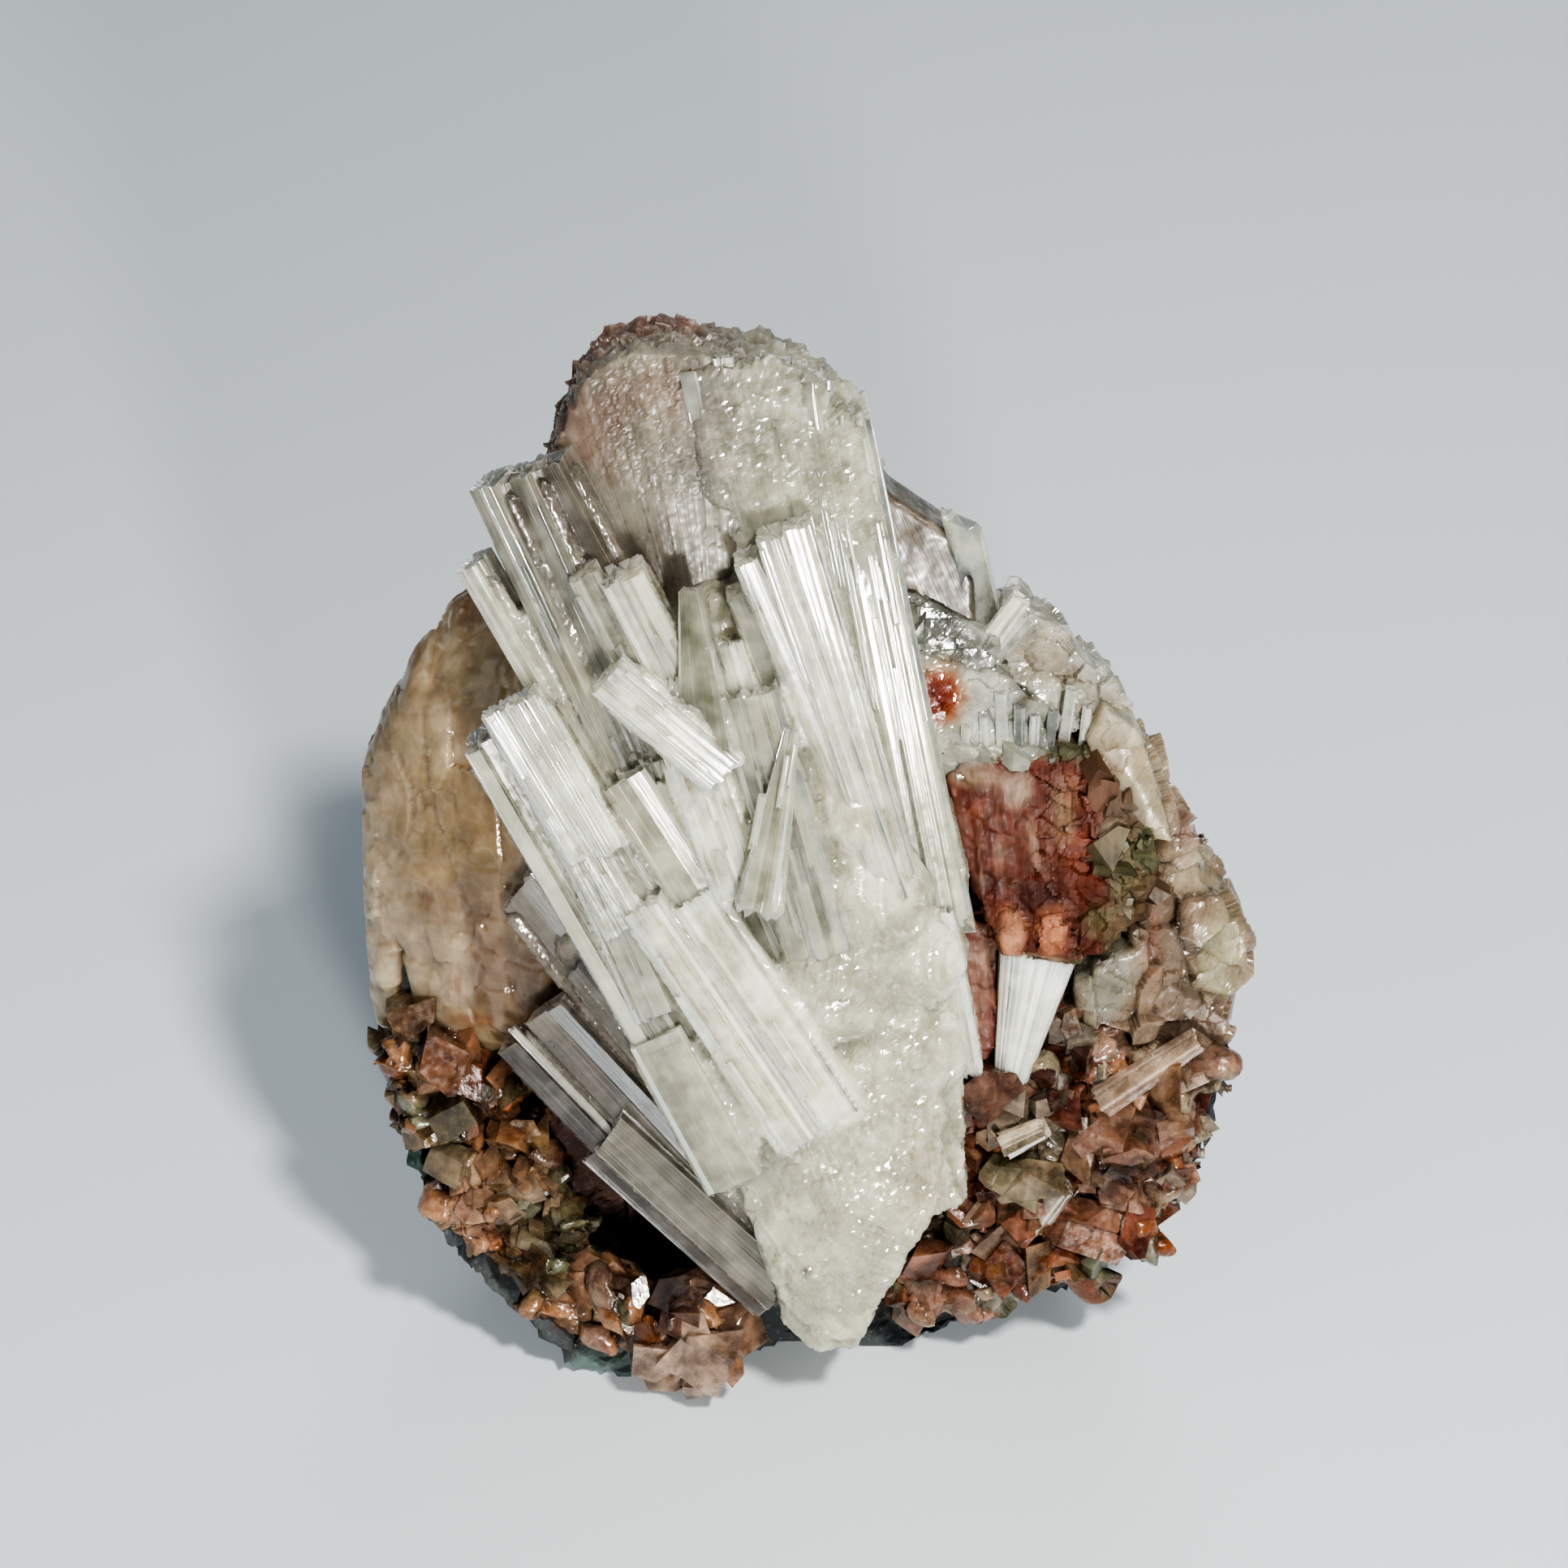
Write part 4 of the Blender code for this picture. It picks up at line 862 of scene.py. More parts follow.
def small_fan():
    rng = np.random.default_rng(5)
    pile = Pile()
    prism(pile, rng, (21.5, 33.8, 4.6), (24.2, 49.0, 5.0), 3.4, 2.8, (0.80, 0.80, 0.70), 0.13, 0.07, 0.8,
          taper=2.4, clear=0.4, breaks=0.25)
    return pile


def folded(points, normals, lean, scale, depth, seed):
    """Ridges that run up the face, with a sideways drift."""
    right, up, out = points.T
    across = right + lean(right, up)
    lines = np.column_stack([across / scale, up / (scale * 22), out * 0.15 / scale])
    ridge = cloud(lines, seed) * 0.6 + cloud(lines * 2.3, seed + 1) * 0.4
    front = np.clip(normals[:, 2] * 1.5 + 0.3, 0, 1)
    return ridge * depth * front, across


HONEY = (0.33, 0.235, 0.13)
PALE_HONEY = (0.39, 0.32, 0.225)
BROWN = (0.24, 0.15, 0.075)
RUST = (0.20, 0.07, 0.03)
# Among the sheaf's own colours, the dark patch at the right is painted shade beside the spray, and the pale
# patch at the top is painted light that lifts the bundle's shadow.
SHEAF_COLOURS_LIGHT_AND_SHADE = (
    (-29, 70, 5, 9, (0.3, 0.2, 0.11), 0.5), (-33, 58, 5, 6, BROWN, 0.35),
    (-34, 81, 9, 8, (0.66, 0.5, 0.31), 0.9), (-38, 72, 3.5, 4, PALE_HONEY, 0.45),
    (-31, 73, 4, 2, PALE_HONEY, 0.3), (-36, 50, 9, 7, (0.2, 0.13, 0.085), 0.7),
    (-30, 45, 7, 6, (0.17, 0.11, 0.075), 0.8), (-40, 45, 5, 8, PALE_HONEY, 0.5),
    (-43, 60, 2.5, 12, (0.3, 0.235, 0.16), 0.6),
)
SHEAF_RUST = (
    (-36.6, 45, 0.4, 3, RUST, 0.5), (-35.6, 40.6, 3, 1.0, RUST, 0.5), (-29, 41, 0.5, 2.0, RUST, 0.5),
    (-35, 84.5, 5, 2, RUST, 0.6), (-41.5, 79, 2.2, 2.4, RUST, 0.5), (-31, 88, 3, 2.4, RUST, 0.6),
)


def left_sheaf():
    pile = Pile()
    mesh, points, normals = even(NODES["stilbite_left_sheaf"].data.copy(), FACE_SIZE["sheaf"], 260)
    lean = lambda right, up: 2.4 * np.sin((up - 38) / 19) + (up - 60) * 0.05
    ridges, across = folded(points, normals, lean, 0.5, 0.012, 21)
    rough = np.clip((points[:, 1] - 76) / 6, 0, 1) + np.clip((-42 - points[:, 0]) / 2, 0, 1)
    sheets = facets(np.column_stack([across, points[:, 1] / 2.2, points[:, 2]]), 5.0, 6)
    lift = 1.3 + 0.6 * clouds(points / np.array((9, 20, 9)), 8) + ridges
    lift += 0.09 * facets(points, 2.2, 6)
    lift += 0.1 * sheets
    lift += rough * (0.16 * facets(points, 2.0, 3) + 0.08 * facets(points, 0.9, 4))
    points = points + normals * lift[:, None]
    right, up, out = points.T
    edge = 0.6 * np.clip((-40.5 - right) / 4.5, 0, 1) + 0.2 * np.clip((64 - up) / 14, 0, 1)
    tint = blended(HONEY, PALE_HONEY, edge)
    tint = patched(points, tint, SHEAF_COLOURS_LIGHT_AND_SHADE, 4, 0.35)
    tint = patched(points, tint, SHEAF_RUST, 14, 0.6)
    back = np.clip(-normals[:, 2] * 2, 0, 1)
    tint = blended(tint, (0.26, 0.17, 0.10), back * 0.6)
    fibres = cloud(np.column_stack([across / 0.5, up / 9, out * 0.3]), 9)
    tint = blended(tint, (0.5, 0.42, 0.3), np.clip(fibres - 0.2, 0, 1) * 0.25)
    streak = clouds(points / np.array((3.5, 6, 3)), 9) * 2.0
    streak += cloud(np.column_stack([across / 3.0, up / 26, out * 0]), 10)
    tint = tint * (1 + 0.1 * streak)[:, None]
    pile.add_mesh(mesh, points, np.column_stack([across, up, np.zeros(len(up))]), tint, 0.3)
    return pile


def edge_distance(points, outline):
    """How far the points lie from the lines through the sides of a row of corners."""
    outline = np.array(outline, float)
    nearest = np.full(len(points), 1e9)
    for start, end in zip(outline, outline[1:]):
        along = unit(end - start)
        nearest = np.minimum(nearest, np.abs((points[:, :2] - start) @ np.array((along[1], -along[0]))))
    return nearest


def top_fan():
    pile = Pile()
    mesh, points, normals = even(hulls_mesh([slab_points(DOME, -2, 11.8, 0.93, 0.9)]), FACE_SIZE["dome"], 5)
    right, up, out = points.T
    angle = np.arctan2(right + 8, up - 66)
    reach = np.hypot(right + 8, up - 66)
    sugar = np.clip((up - 96) / 8, 0, 1) * np.clip((right + 24) / 8, 0.1, 1)
    border = edge_distance(points, DOME[:7])
    teeth = np.clip(1.6 - border, 0, 1)
    fan = np.column_stack([angle * 46, reach / 14, out * 0.2])
    lift = 0.35 * clouds(points / 10, 2) + 0.06 * facets(fan, 1.1, 3)
    lift += (0.01 + 0.14 * sugar) * facets(points, 1.1, 4)
    lift += 0.18 * sugar * facets(points, 0.55, 12) + 0.5 * teeth * facets(points, 1.7, 17)
    points = points + normals * lift[:, None]
    tint = patched(points, (0.235, 0.215, 0.17), DOME_COLOURS_AND_SHADE, 6, 0.4, 1.1)
    left_top = np.clip((-8 - right) / 4, 0, 1) * np.clip((up - 90) / 4, 0, 1)
    behind = np.clip((9 - out) / 5, 0, 1)
    rim = np.clip((1.5 - border + 0.9 * cloud(points / 1.8, 7)) / 1.2, 0, 1) * left_top * behind
    tint = blended(tint, (0.13, 0.045, 0.03), rim * 0.8)
    tint = tint * (1 + 0.16 * cloud(fan / 0.7, 5) + 0.12 * cloud(fan / 2.2, 6))[:, None]
    grain = np.column_stack([angle * 30, reach, np.zeros(len(up))])
    pile.add_mesh(mesh, points, grain, tint, 0.35, sugar < 0.3)
    return pile


LEAF_HULLS = (
    # outline (right, up), back, front, inset, bulge
    (((3.2, 104.2), (5, 102), (8.4, 97.4), (9.5, 88), (4, 90)), -3.6, 4.8, 0.94, 0.0),
    (((5.4, 99.4), (8, 97.4), (12.6, 94.6), (15, 93), (17.4, 88), (17.6, 81), (9, 81), (5, 92)), -3.8, 5.0,
     0.94, 0.0),
)
LEAF_PATCHES = (
    (8, 97, 3, 5, (0.135, 0.11, 0.08), 0.5), (12, 88, 3, 3, (0.165, 0.13, 0.09), 0.5),
    (6, 104, 2, 4, (0.22, 0.17, 0.11), 0.5), (13.5, 93.5, 1.4, 2, (0.34, 0.3, 0.24), 0.5),
)


def leaf():
    pile = Pile()
    mesh, points, normals = even(slabs_mesh(LEAF_HULLS), FACE_SIZE["leaf"], 12)
    across = points[:, 0] + (points[:, 1] - 90) * 0.45
    points = points + normals * (0.1 + 0.15 * clouds(points / 9, 3) + 0.12 * clouds(points / 2.4, 8))[:, None]
    _, up, out = points.T
    tint = patched(points, (0.085, 0.066, 0.044), LEAF_PATCHES, 8, 0.3, 1.5)
    pile.add_mesh(mesh, points, np.column_stack([across, up, out * 0]), tint, 0.4)
    prism(pile, np.random.default_rng(3), (18.8, 81, 1.5), (15.6, 94.5, 4.4), 3.8, 3.2, (0.42, 0.435, 0.37),
          4, 0.02, 0.2, slant=-3.0, clear=0.6)
    return pile


BLADE = (
    (28.2, 72.5), (30, 76.6), (33.6, 74), (35, 71), (35.2, 67), (37.2, 63.6), (38.2, 60.4), (36, 60.6),
    (33, 65), (29, 69.6),
)
PLATE_PATCHES = (
    (43.4, 48.5, 3.0, 6, (0.34, 0.305, 0.205), 0.9), (41, 57, 4, 2.5, (0.4, 0.35, 0.24), 0.6),
    (31, 46, 3.5, 7, (0.25, 0.245, 0.195), 0.85), (34, 67, 4, 8, (0.33, 0.29, 0.2), 0.8),
    (40, 39.5, 5, 3, (0.22, 0.155, 0.115), 0.6), (36.5, 50, 0.7, 6, (0.24, 0.1, 0.06), 0.5),
    (41, 61, 2, 1.2, (0.34, 0.18, 0.14), 0.6),
)
BLADE_PATCHES = (
    (32.5, 74.5, 2.5, 2.5, (0.46, 0.43, 0.34), 0.8), (31, 69, 1.6, 4, (0.26, 0.18, 0.095), 0.7),
    (36.5, 62, 2, 2, (0.34, 0.24, 0.14), 0.6),
)


def plates():
    pile = Pile()
    mesh, points, normals = even(NODES["stilbite_right_plates"].data.copy(), FACE_SIZE["plates"], 6)
    ridges, across = folded(points, normals, lambda right, up: (up - 50) * -0.25, 0.7, 0.08, 14)
    lift = 0.2 + 0.2 * clouds(points / 9, 13) + ridges * 0.15 + 0.36 * facets(points, 5.0, 18)
    points = points + normals * (lift + 0.07 * facets(points, 1.8, 19))[:, None]
    _, up, out = points.T
    tint = patched(points, (0.225, 0.16, 0.11), PLATE_PATCHES, 9, 0.3, 1.8)
    pile.add_mesh(mesh, points, np.column_stack([across, up, out * 0]), tint, 0.4, False)
    mesh, points, normals = even(hulls_mesh([slab_points(BLADE, 1, 7.4, 0.9, 0.5)]), FACE_SIZE["blade"], 5)
    points = points + normals * (0.12 * clouds(points / 4, 3) + 0.1 * facets(points, 3.0, 5))[:, None]
    right, up, out = points.T
    tint = patched(points, (0.40, 0.34, 0.235), BLADE_PATCHES, 7, 0.35, 1.3)
    pile.add_mesh(mesh, points, np.column_stack([right - up * 0.4, up + right, out * 0]), tint, 0.45, False)
    return pile


SHELL_PATCHES = (
    (-20, -1, 7, 3.5, (0.1, 0.14, 0.13), 0.9), (-41, 27, 3, 4, (0.02, 0.05, 0.04), 0.8),
    (-22, 20, 13, 13, (0.05, 0.012, 0.008), 0.9), (30, 14, 10, 6, (0.06, 0.075, 0.06), 0.6),
)


def shell():
    pile = Pile()
    mesh, points, normals = even(NODES["basalt_shell"].data.copy(), FACE_SIZE["basalt"], 2)
    lift = 0.9 * clouds(points / 11, 31, 4) + 0.4 * facets(points, 6.0, 33) + 0.36 * facets(points, 2.2, 37)
    lift += 0.2 * clouds(points / 1.5, 35)
    height = to_world(points)[:, 2] / MM
    lift = lift * np.clip((height - 0.3) / 1.5, 0, 1)
    front = normals[:, 2] > 0.3
    lift = np.where(front, lift.clip(None, 0.1), lift - 0.3)
    points = points + normals * lift[:, None]
    dark = np.array((0.036, 0.042, 0.043))
    tint = dark * (1 + 0.4 * cloud(points / 3, 2) + 0.25 * cloud(points / 0.9, 6))[:, None]
    tint = patched(points, tint, SHELL_PATCHES, 2)
    rusty = np.clip(clouds(points / 7, 12) * 2.2 - 0.2, 0, 1) * (points[:, 2] < -3)
    tint = blended(tint, (0.11, 0.06, 0.035), rusty * 0.7)
    pile.add_mesh(mesh, points, points.copy(), tint, soft=False)
    return pile


def pick(rng, palette, count):
    """Colours at random from a palette of (weight, colour) rows."""
    weights = np.array([row[0] for row in palette], float)
    colours = np.array([row[1] for row in palette], float)
    chosen = rng.choice(len(palette), size=count, p=weights / weights.sum())
    return colours[chosen] * (1 + 0.12 * rng.normal(size=(count, 1)))


def by_cell(numbers, palette):
    """A colour of the palette for each point's cell."""
    weights = np.cumsum([row[0] for row in palette])
    chosen = np.searchsorted(weights / weights[-1], numbers[:, 1].clip(0, 0.9999))
    return np.array([row[1] for row in palette], float)[chosen] * (0.75 + 0.5 * numbers[:, 2:])


PEACH, WARM_BROWN, DARK_RED = (0.40, 0.20, 0.10), (0.12, 0.06, 0.025), (0.05, 0.013, 0.008)
OLIVE, GREY_GREEN, GLASSY_PINK = (0.10, 0.095, 0.04), (0.2, 0.2, 0.125), (0.33, 0.20, 0.14)
ORANGE, BRICK, SALMON = (0.26, 0.075, 0.02), (0.14, 0.033, 0.016), (0.34, 0.15, 0.09)
CREAM, CLEAR_GREY, GREEN = (0.38, 0.32, 0.21), (0.24, 0.23, 0.18), (0.075, 0.095, 0.045)

LEFT_PALETTE = (
    (4, PEACH), (3, WARM_BROWN), (2, DARK_RED), (2, OLIVE), (2, GREY_GREEN), (2, GLASSY_PINK), (1, ORANGE),
)
RIGHT_PALETTE = (
    (4, BRICK), (3, ORANGE), (3, GLASSY_PINK), (2, CLEAR_GREY), (2, DARK_RED), (2, SALMON), (1, OLIVE),
    (1, CREAM),
)
LEFT_PATCHES = (
    (-28, 15, 5, 4, OLIVE, 0.6), (-32, 11, 5, 3, GREY_GREEN, 0.45), (-39.5, 25.5, 3.5, 3, GREY_GREEN, 0.6),
    (-33, 24, 5, 4, PEACH, 0.6), (-36, 17, 4, 3, GLASSY_PINK, 0.4), (-41, 35, 3, 3, PEACH, 0.5),
    (-38, 31, 4, 3, OLIVE, 0.4), (-37, 37, 4, 2.5, BRICK, 0.5), (-25, 8, 3, 3, PEACH, 0.6),
    (-29, 3, 3, 2, SALMON, 0.6), (-14, 3, 6, 5, (0.62, 0.44, 0.34), 0.85), (-20, 3, 2, 3, ORANGE, 0.6),
    (-23, 25, 5, 6, DARK_RED, 0.8), (-14, 11, 3, 4, DARK_RED, 0.8),
)
RIGHT_PATCHES = (
    (24, 28, 4.5, 3.5, (0.36, 0.33, 0.26), 0.7), (25, 24, 4, 3, CREAM, 0.6),
    (33, 13, 4, 2.5, (0.1, 0.12, 0.06), 0.8), (32, 30, 4, 4, ORANGE, 0.5), (20, 18, 3, 3, GLASSY_PINK, 0.5),
    (36, 34, 5, 3, (0.42, 0.24, 0.13), 0.6), (44, 28, 1.8, 8, CREAM, 0.7), (13, 9, 4, 4, SALMON, 0.6),
    (28, 17, 3, 2, SALMON, 0.5), (18, 32, 3, 2, DARK_RED, 0.7), (26, 33, 3, 2, BRICK, 0.5),
    (36, 22, 4, 3, BRICK, 0.6), (22, 13, 4, 2, ORANGE, 0.5), (41, 37, 4, 2, GLASSY_PINK, 0.6),
)


LEFT_RIM = (
    (-46, 46), (-44.6, 40), (-44, 32), (-42, 25), (-40, 20), (-37, 15.5), (-32, 12.5), (-28, 9.8),
    (-22.5, 7.5), (-19, 5), (-16.5, -1), (-10, -1.5), (-8, 1),
)
RIGHT_RIM = (
    (13, 4), (17, 7), (22, 10), (27, 11), (31, 11), (36, 13), (40, 17), (44, 24), (45.6, 28), (45, 37),
    (45.4, 48),
)


# Small crystals: how many spots are tried, their least and greatest size, how deep they sit and how tall they
# are, the last two as shares of their size.
LEFT_GROUPS = (
    (26, 4.4, 5.8, 0.34, 0.85), (260, 2.8, 4.6, 0.32, 0.9), (180, 1.7, 2.8, 0.22, 1.0),
    (120, 0.9, 1.5, 0.05, 1.0),
)
RIGHT_GROUPS = (
    (26, 4.4, 5.8, 0.34, 0.85), (230, 2.8, 4.6, 0.32, 1.0), (200, 1.7, 2.8, 0.22, 1.1),
    (160, 0.9, 1.6, 0.05, 1.1),
)
RIGHT_PRISMS = (
    # base, tip, width, colour
    ((31, 31.5, 5.0), (41.5, 39.5, 6.4), 3.2, (0.46, 0.35, 0.26)),
    ((37.6, 33, 4.6), (42.4, 35.6, 6.2), 2.6, (0.44, 0.31, 0.23)),
    ((24, 17, 4.0), (27.4, 22.6, 6.0), 3.2, (0.42, 0.38, 0.32)),
    ((21, 27, 5.4), (25.4, 30, 7.4), 3.0, (0.52, 0.45, 0.34)),
)


def inside(spots, rim):
    """How far the spots lie on the left of a line walked from its first corner to its last."""
    rim = np.array(rim, float)
    best = np.full(len(spots), 1e9)
    signed = np.zeros(len(spots))
    for start, end in zip(rim, rim[1:]):
        length = np.linalg.norm(end - start)
        along = (end - start) / length
        away = spots[:, :2] - start
        walked = (away @ along).clip(0, length)
        far = np.linalg.norm(away - walked[:, None] * along, axis=1)
        closer = far < best
        best[closer] = far[closer]
        signed[closer] = (far * np.sign(away @ np.array((-along[1], along[0]))))[closer]
    return signed


# The foot of the small fan, and the room round it that the small crystals leave.
FAN_FOOT, FAN_ROOM = (22.6, 35.6), 2.6
# Small crystals grow where the surface turns to the front by at least this much.
LEAST_FACING = -0.2


def crust(node, seed, palette, patches, groups, rim, long_ones=()):
    """Crystals grown together into a bed, with larger ones standing out of it."""
    rng = np.random.default_rng(seed)
    pile = Pile()
    source = NODES[node].data
    mesh, points, normals = even(source.copy(), FACE_SIZE["crust"], 6)
    warped = points + 0.8 * np.stack([cloud(points / 3, seed + i) for i in range(3)], axis=1)
    relief, numbers, sunk = grown_relief(warped, 4.0, seed, 0.3, 0.1)
    points = points + normals * (relief - 0.6)[:, None]
    # Painted shade: the bed is darker down in the creases between its crystals.
    tint = patched(points, by_cell(numbers, palette), patches, seed) * (0.8 - 0.5 * sunk)[:, None]
    pile.add_mesh(mesh, points, points.copy(), tint, 0.3)
    for count, low, high, sink, tall in groups:
        def keep(spots, facing):
            in_rim = inside(spots, rim) > low * 0.42
            return (facing[:, 2] > LEAST_FACING) & in_rim & (far_from(spots, *FAN_FOOT) > FAN_ROOM)

        spots, facing = spread(rng, source, count, keep)
        room = 2.1 * inside(spots, rim)
        sizes = np.minimum(log_sizes(rng, low, high, len(spots)), room)
        tints = pick(rng, palette, len(spots)) * 0.7 + by_cell(cells(spots / 6.5, seed)[1], palette) * 0.6
        tints = patched(spots, tints, patches, seed)
        grow(pile, rng, spots - facing * (sizes * sink)[:, None], facing, sizes, tints, tall=tall, clear=0.72)
    for base, tip, wide, tint in long_ones:
        prism(pile, rng, base, tip, wide, wide * 0.8, tint, 0.7, 0.05, 0.5, roll=rng.uniform(0, 1.5),
              clear=0.8, taper=0.75)
    return pile


RED_HULLS = (
    # outline (right, up), back, front, inset, bulge
    (((13.5, 69), (16, 71), (21, 71.5), (25, 72), (29, 72), (33, 68), (36, 63), (37, 59), (36.5, 56),
     (34.5, 52), (31, 48.5), (26, 46.5), (20.5, 48), (17.5, 54), (15, 61)), -4, 7.6, 0.93, 0.8),
    (((15, 54), (20, 52), (20.5, 42), (19.5, 36), (17.5, 35), (16.3, 44)), -4, 5.4, 0.9, 0.3),
    (((19.5, 54), (22, 55), (23.4, 52), (22.6, 48.6), (20, 48.6)), 2, 8.6, 0.8, 0.8),
    (((23.6, 54), (26.6, 54.6), (27.6, 51), (26.4, 48.4), (23.8, 48.8)), 2, 8.6, 0.8, 0.8),
)
RED_PALETTE = ((5, BRICK), (3, (0.22, 0.075, 0.045)), (1.5, SALMON), (2, DARK_RED), (1, GLASSY_PINK))
RED_PATCHES = (
    (21, 51.6, 1.9, 3.2, (0.44, 0.22, 0.13), 0.95), (25.4, 51.6, 2.0, 3.2, (0.42, 0.18, 0.1), 0.9),
    (19, 57, 2.2, 1.6, DARK_RED, 0.7), (23.4, 55.6, 3.0, 1.8, DARK_RED, 0.85),
    (26.6, 57.5, 2.0, 2.4, DARK_RED, 0.7), (28.5, 60, 3, 4, (0.2, 0.05, 0.025), 0.6),
    (22.5, 48.2, 4.5, 1.0, (0.5, 0.45, 0.34), 0.9), (17.3, 68.4, 3.4, 1.4, (0.26, 0.19, 0.12), 0.7),
    (21.5, 67.2, 1.8, 2.2, (0.4, 0.33, 0.25), 0.5), (26.5, 65, 1.6, 4, (0.3, 0.2, 0.12), 0.6),
    (29, 67, 3, 3, (0.24, 0.085, 0.045), 0.5), (28.5, 47.6, 4.5, 1.2, GREEN, 0.9),
    (32.5, 49.5, 2.4, 2.4, GREEN, 0.7), (33, 58, 2.8, 7, (0.12, 0.11, 0.055), 0.85),
    (35.6, 60, 1.4, 6, GREEN, 0.7), (32.4, 65.5, 2.4, 3.4, (0.12, 0.085, 0.05), 0.8),
    (27.5, 71, 4, 1.4, GREEN, 0.8), (22, 71, 3.4, 1.2, (0.27, 0.28, 0.17), 0.7),
    (16, 70.4, 4, 1.3, (0.34, 0.31, 0.24), 0.8), (31, 62.5, 1.4, 1.6, CLEAR_GREY, 0.7),
    (30.5, 53, 2.4, 2.4, OLIVE, 0.8), (18, 44, 2.4, 8, (0.24, 0.13, 0.095), 0.8),
    (19.6, 47, 1.0, 4, (0.12, 0.05, 0.03), 0.7),
)
RED_STREAKS = ((17.5, 65, 3.5, 4.5), (21, 61, 4.5, 4.0), (17, 57, 1.5, 8.0), (18, 44, 2.4, 8))


def red_mass():
    rng = np.random.default_rng(31)
    pile = Pile()
    mesh, points, normals = even(slabs_mesh(RED_HULLS), FACE_SIZE["red"], 6)
    ridges, across = folded(points, normals, lambda right, up: (up - 58) * 0.12, 0.7, 0.16, 6)
    striped = np.clip((26 - points[:, 0]) / 4, 0.1, 1) * np.clip((points[:, 1] - 54) / 4, 0.1, 1)
    striped = np.maximum(striped, np.clip(2 - far_from(points, 17.6, 43, 1.6, 6), 0, 1))
    warped = points + 0.8 * np.stack([cloud(points / 3, 40 + i) for i in range(3)], axis=1)
    _, numbers, _ = cells(warped / np.array((1.6, 3.2, 1.6)), 5)
    _, small, _ = cells(warped / 1.0, 9)
    flat = 0.3 * facets(warped, 2.6, 9) + 0.2 * facets(points, 1.1, 4)
    lift = ridges * striped + flat * (1 - 0.6 * striped) + 0.35 * clouds(points / 5, 8)
    points = points + normals * lift[:, None]
    tint = blended((0.075, 0.014, 0.007), by_cell(numbers, RED_PALETTE), np.full(len(points), 0.18))
    tint = blended(tint, by_cell(small, RED_PALETTE), np.full(len(points), 0.08))
    tint = patched(points, tint, RED_PATCHES, 5, 0.4, 1.2)
    streak = cloud(np.column_stack([across / 0.6, points[:, 1] / 6, points[:, 2] * 0]), 13)
    zone = np.max([1 - far_from(points, *row) for row in RED_STREAKS], axis=0)
    tint = blended(tint, (0.40, 0.27, 0.19), np.clip(streak * 2.0 - 0.8, 0, 1) * np.clip(zone * 2, 0, 0.5))
    tint = tint * (0.82 + 0.2 * cloud(points / 0.8, 6))[:, None]
    grain = np.column_stack([across, points[:, 1], points[:, 2] * 0])
    pile.add_mesh(mesh, points, grain, tint, 0.08, striped > 0.6)
    right_side = lambda spots, facing: (facing[:, 2] > 0) & (spots[:, 0] > 30) & (spots[:, 0] < 36)
    below = lambda spots, facing: (facing[:, 2] > 0) & (spots[:, 0] > 26) & (spots[:, 1] < 53)
    groups = (26, 1.6, 3.2, right_side), (30, 0.9, 1.8, right_side), (22, 0.9, 1.9, below)
    for count, low, high, keep in groups:
        spots, facing = spread(rng, mesh, count * 12, keep)
        spots, facing = spots[:count], facing[:count]
        sizes = log_sizes(rng, low, high, len(spots))
        tints = patched(spots, pick(rng, RED_PALETTE, len(spots)), RED_PATCHES, 5)
        spots = spots - facing * sizes[:, None] * 0.25
        grow(pile, rng, spots, facing, sizes, tints * 1.2, tall=1.1, clear=0.6)
    return pile


ORANGE_SPOT = (13.6, 76.8)
CLUSTER_HULLS = (
    # outline (right, up), back, front, inset, bulge
    (((9, 87.5), (11, 87.6), (20, 82.5), (19, 78), (14, 78), (10, 81)), -3, 6.6, 0.93, 0.2),
    (((17, 82), (20, 86), (22, 86.2), (24.5, 84), (26.5, 81), (29, 79), (31.6, 77.6), (33.4, 74), (30, 71),
     (22, 73.5), (18, 77)), -4, 5.0, 0.93, 0.6),
    (((9.8, 82), (14, 79.5), (20, 79), (24, 75.5), (26, 70), (21, 68), (15, 67.5), (12.8, 69), (11.5, 75)),
     -3, 7.4, 0.93, 0.3),
)
CLUSTER_PATCHES = (
    (12.5, 84, 5, 3.6, (0.05, 0.056, 0.047), 0.9), (17, 81.6, 3.6, 2.2, (0.13, 0.137, 0.12), 0.85),
    (10, 87, 2.5, 1.2, (0.06, 0.06, 0.05), 0.7), (24, 80.5, 4.5, 4, (0.32, 0.27, 0.195), 0.85),
    (22.4, 76.4, 1.6, 0.8, (0.1, 0.07, 0.03), 0.85), (27.5, 77, 2.5, 3, (0.27, 0.22, 0.14), 0.7),
    (31, 75, 3, 3.4, (0.44, 0.41, 0.32), 0.7), (15, 71, 4, 2.6, (0.5, 0.48, 0.4), 0.8),
    (20.5, 69.6, 4, 1.4, (0.26, 0.26, 0.16), 0.8), (26, 71, 4, 1.8, (0.1, 0.12, 0.06), 0.85),
    (24.3, 72.5, 1.4, 3, (0.13, 0.13, 0.11), 0.8),
)
SPOT_PATCHES = (
    (*ORANGE_SPOT, 3.8, 4.0, (0.46, 0.36, 0.22), 0.8), (*ORANGE_SPOT, 2.7, 3.0, (0.3, 0.06, 0.006), 1.0),
    (ORANGE_SPOT[0] - 0.5, ORANGE_SPOT[1], 1.9, 2.1, (0.16, 0.013, 0.003), 0.95),
)
GLASS, DARK_GLASS = (0.50, 0.51, 0.45), (0.20, 0.21, 0.19)
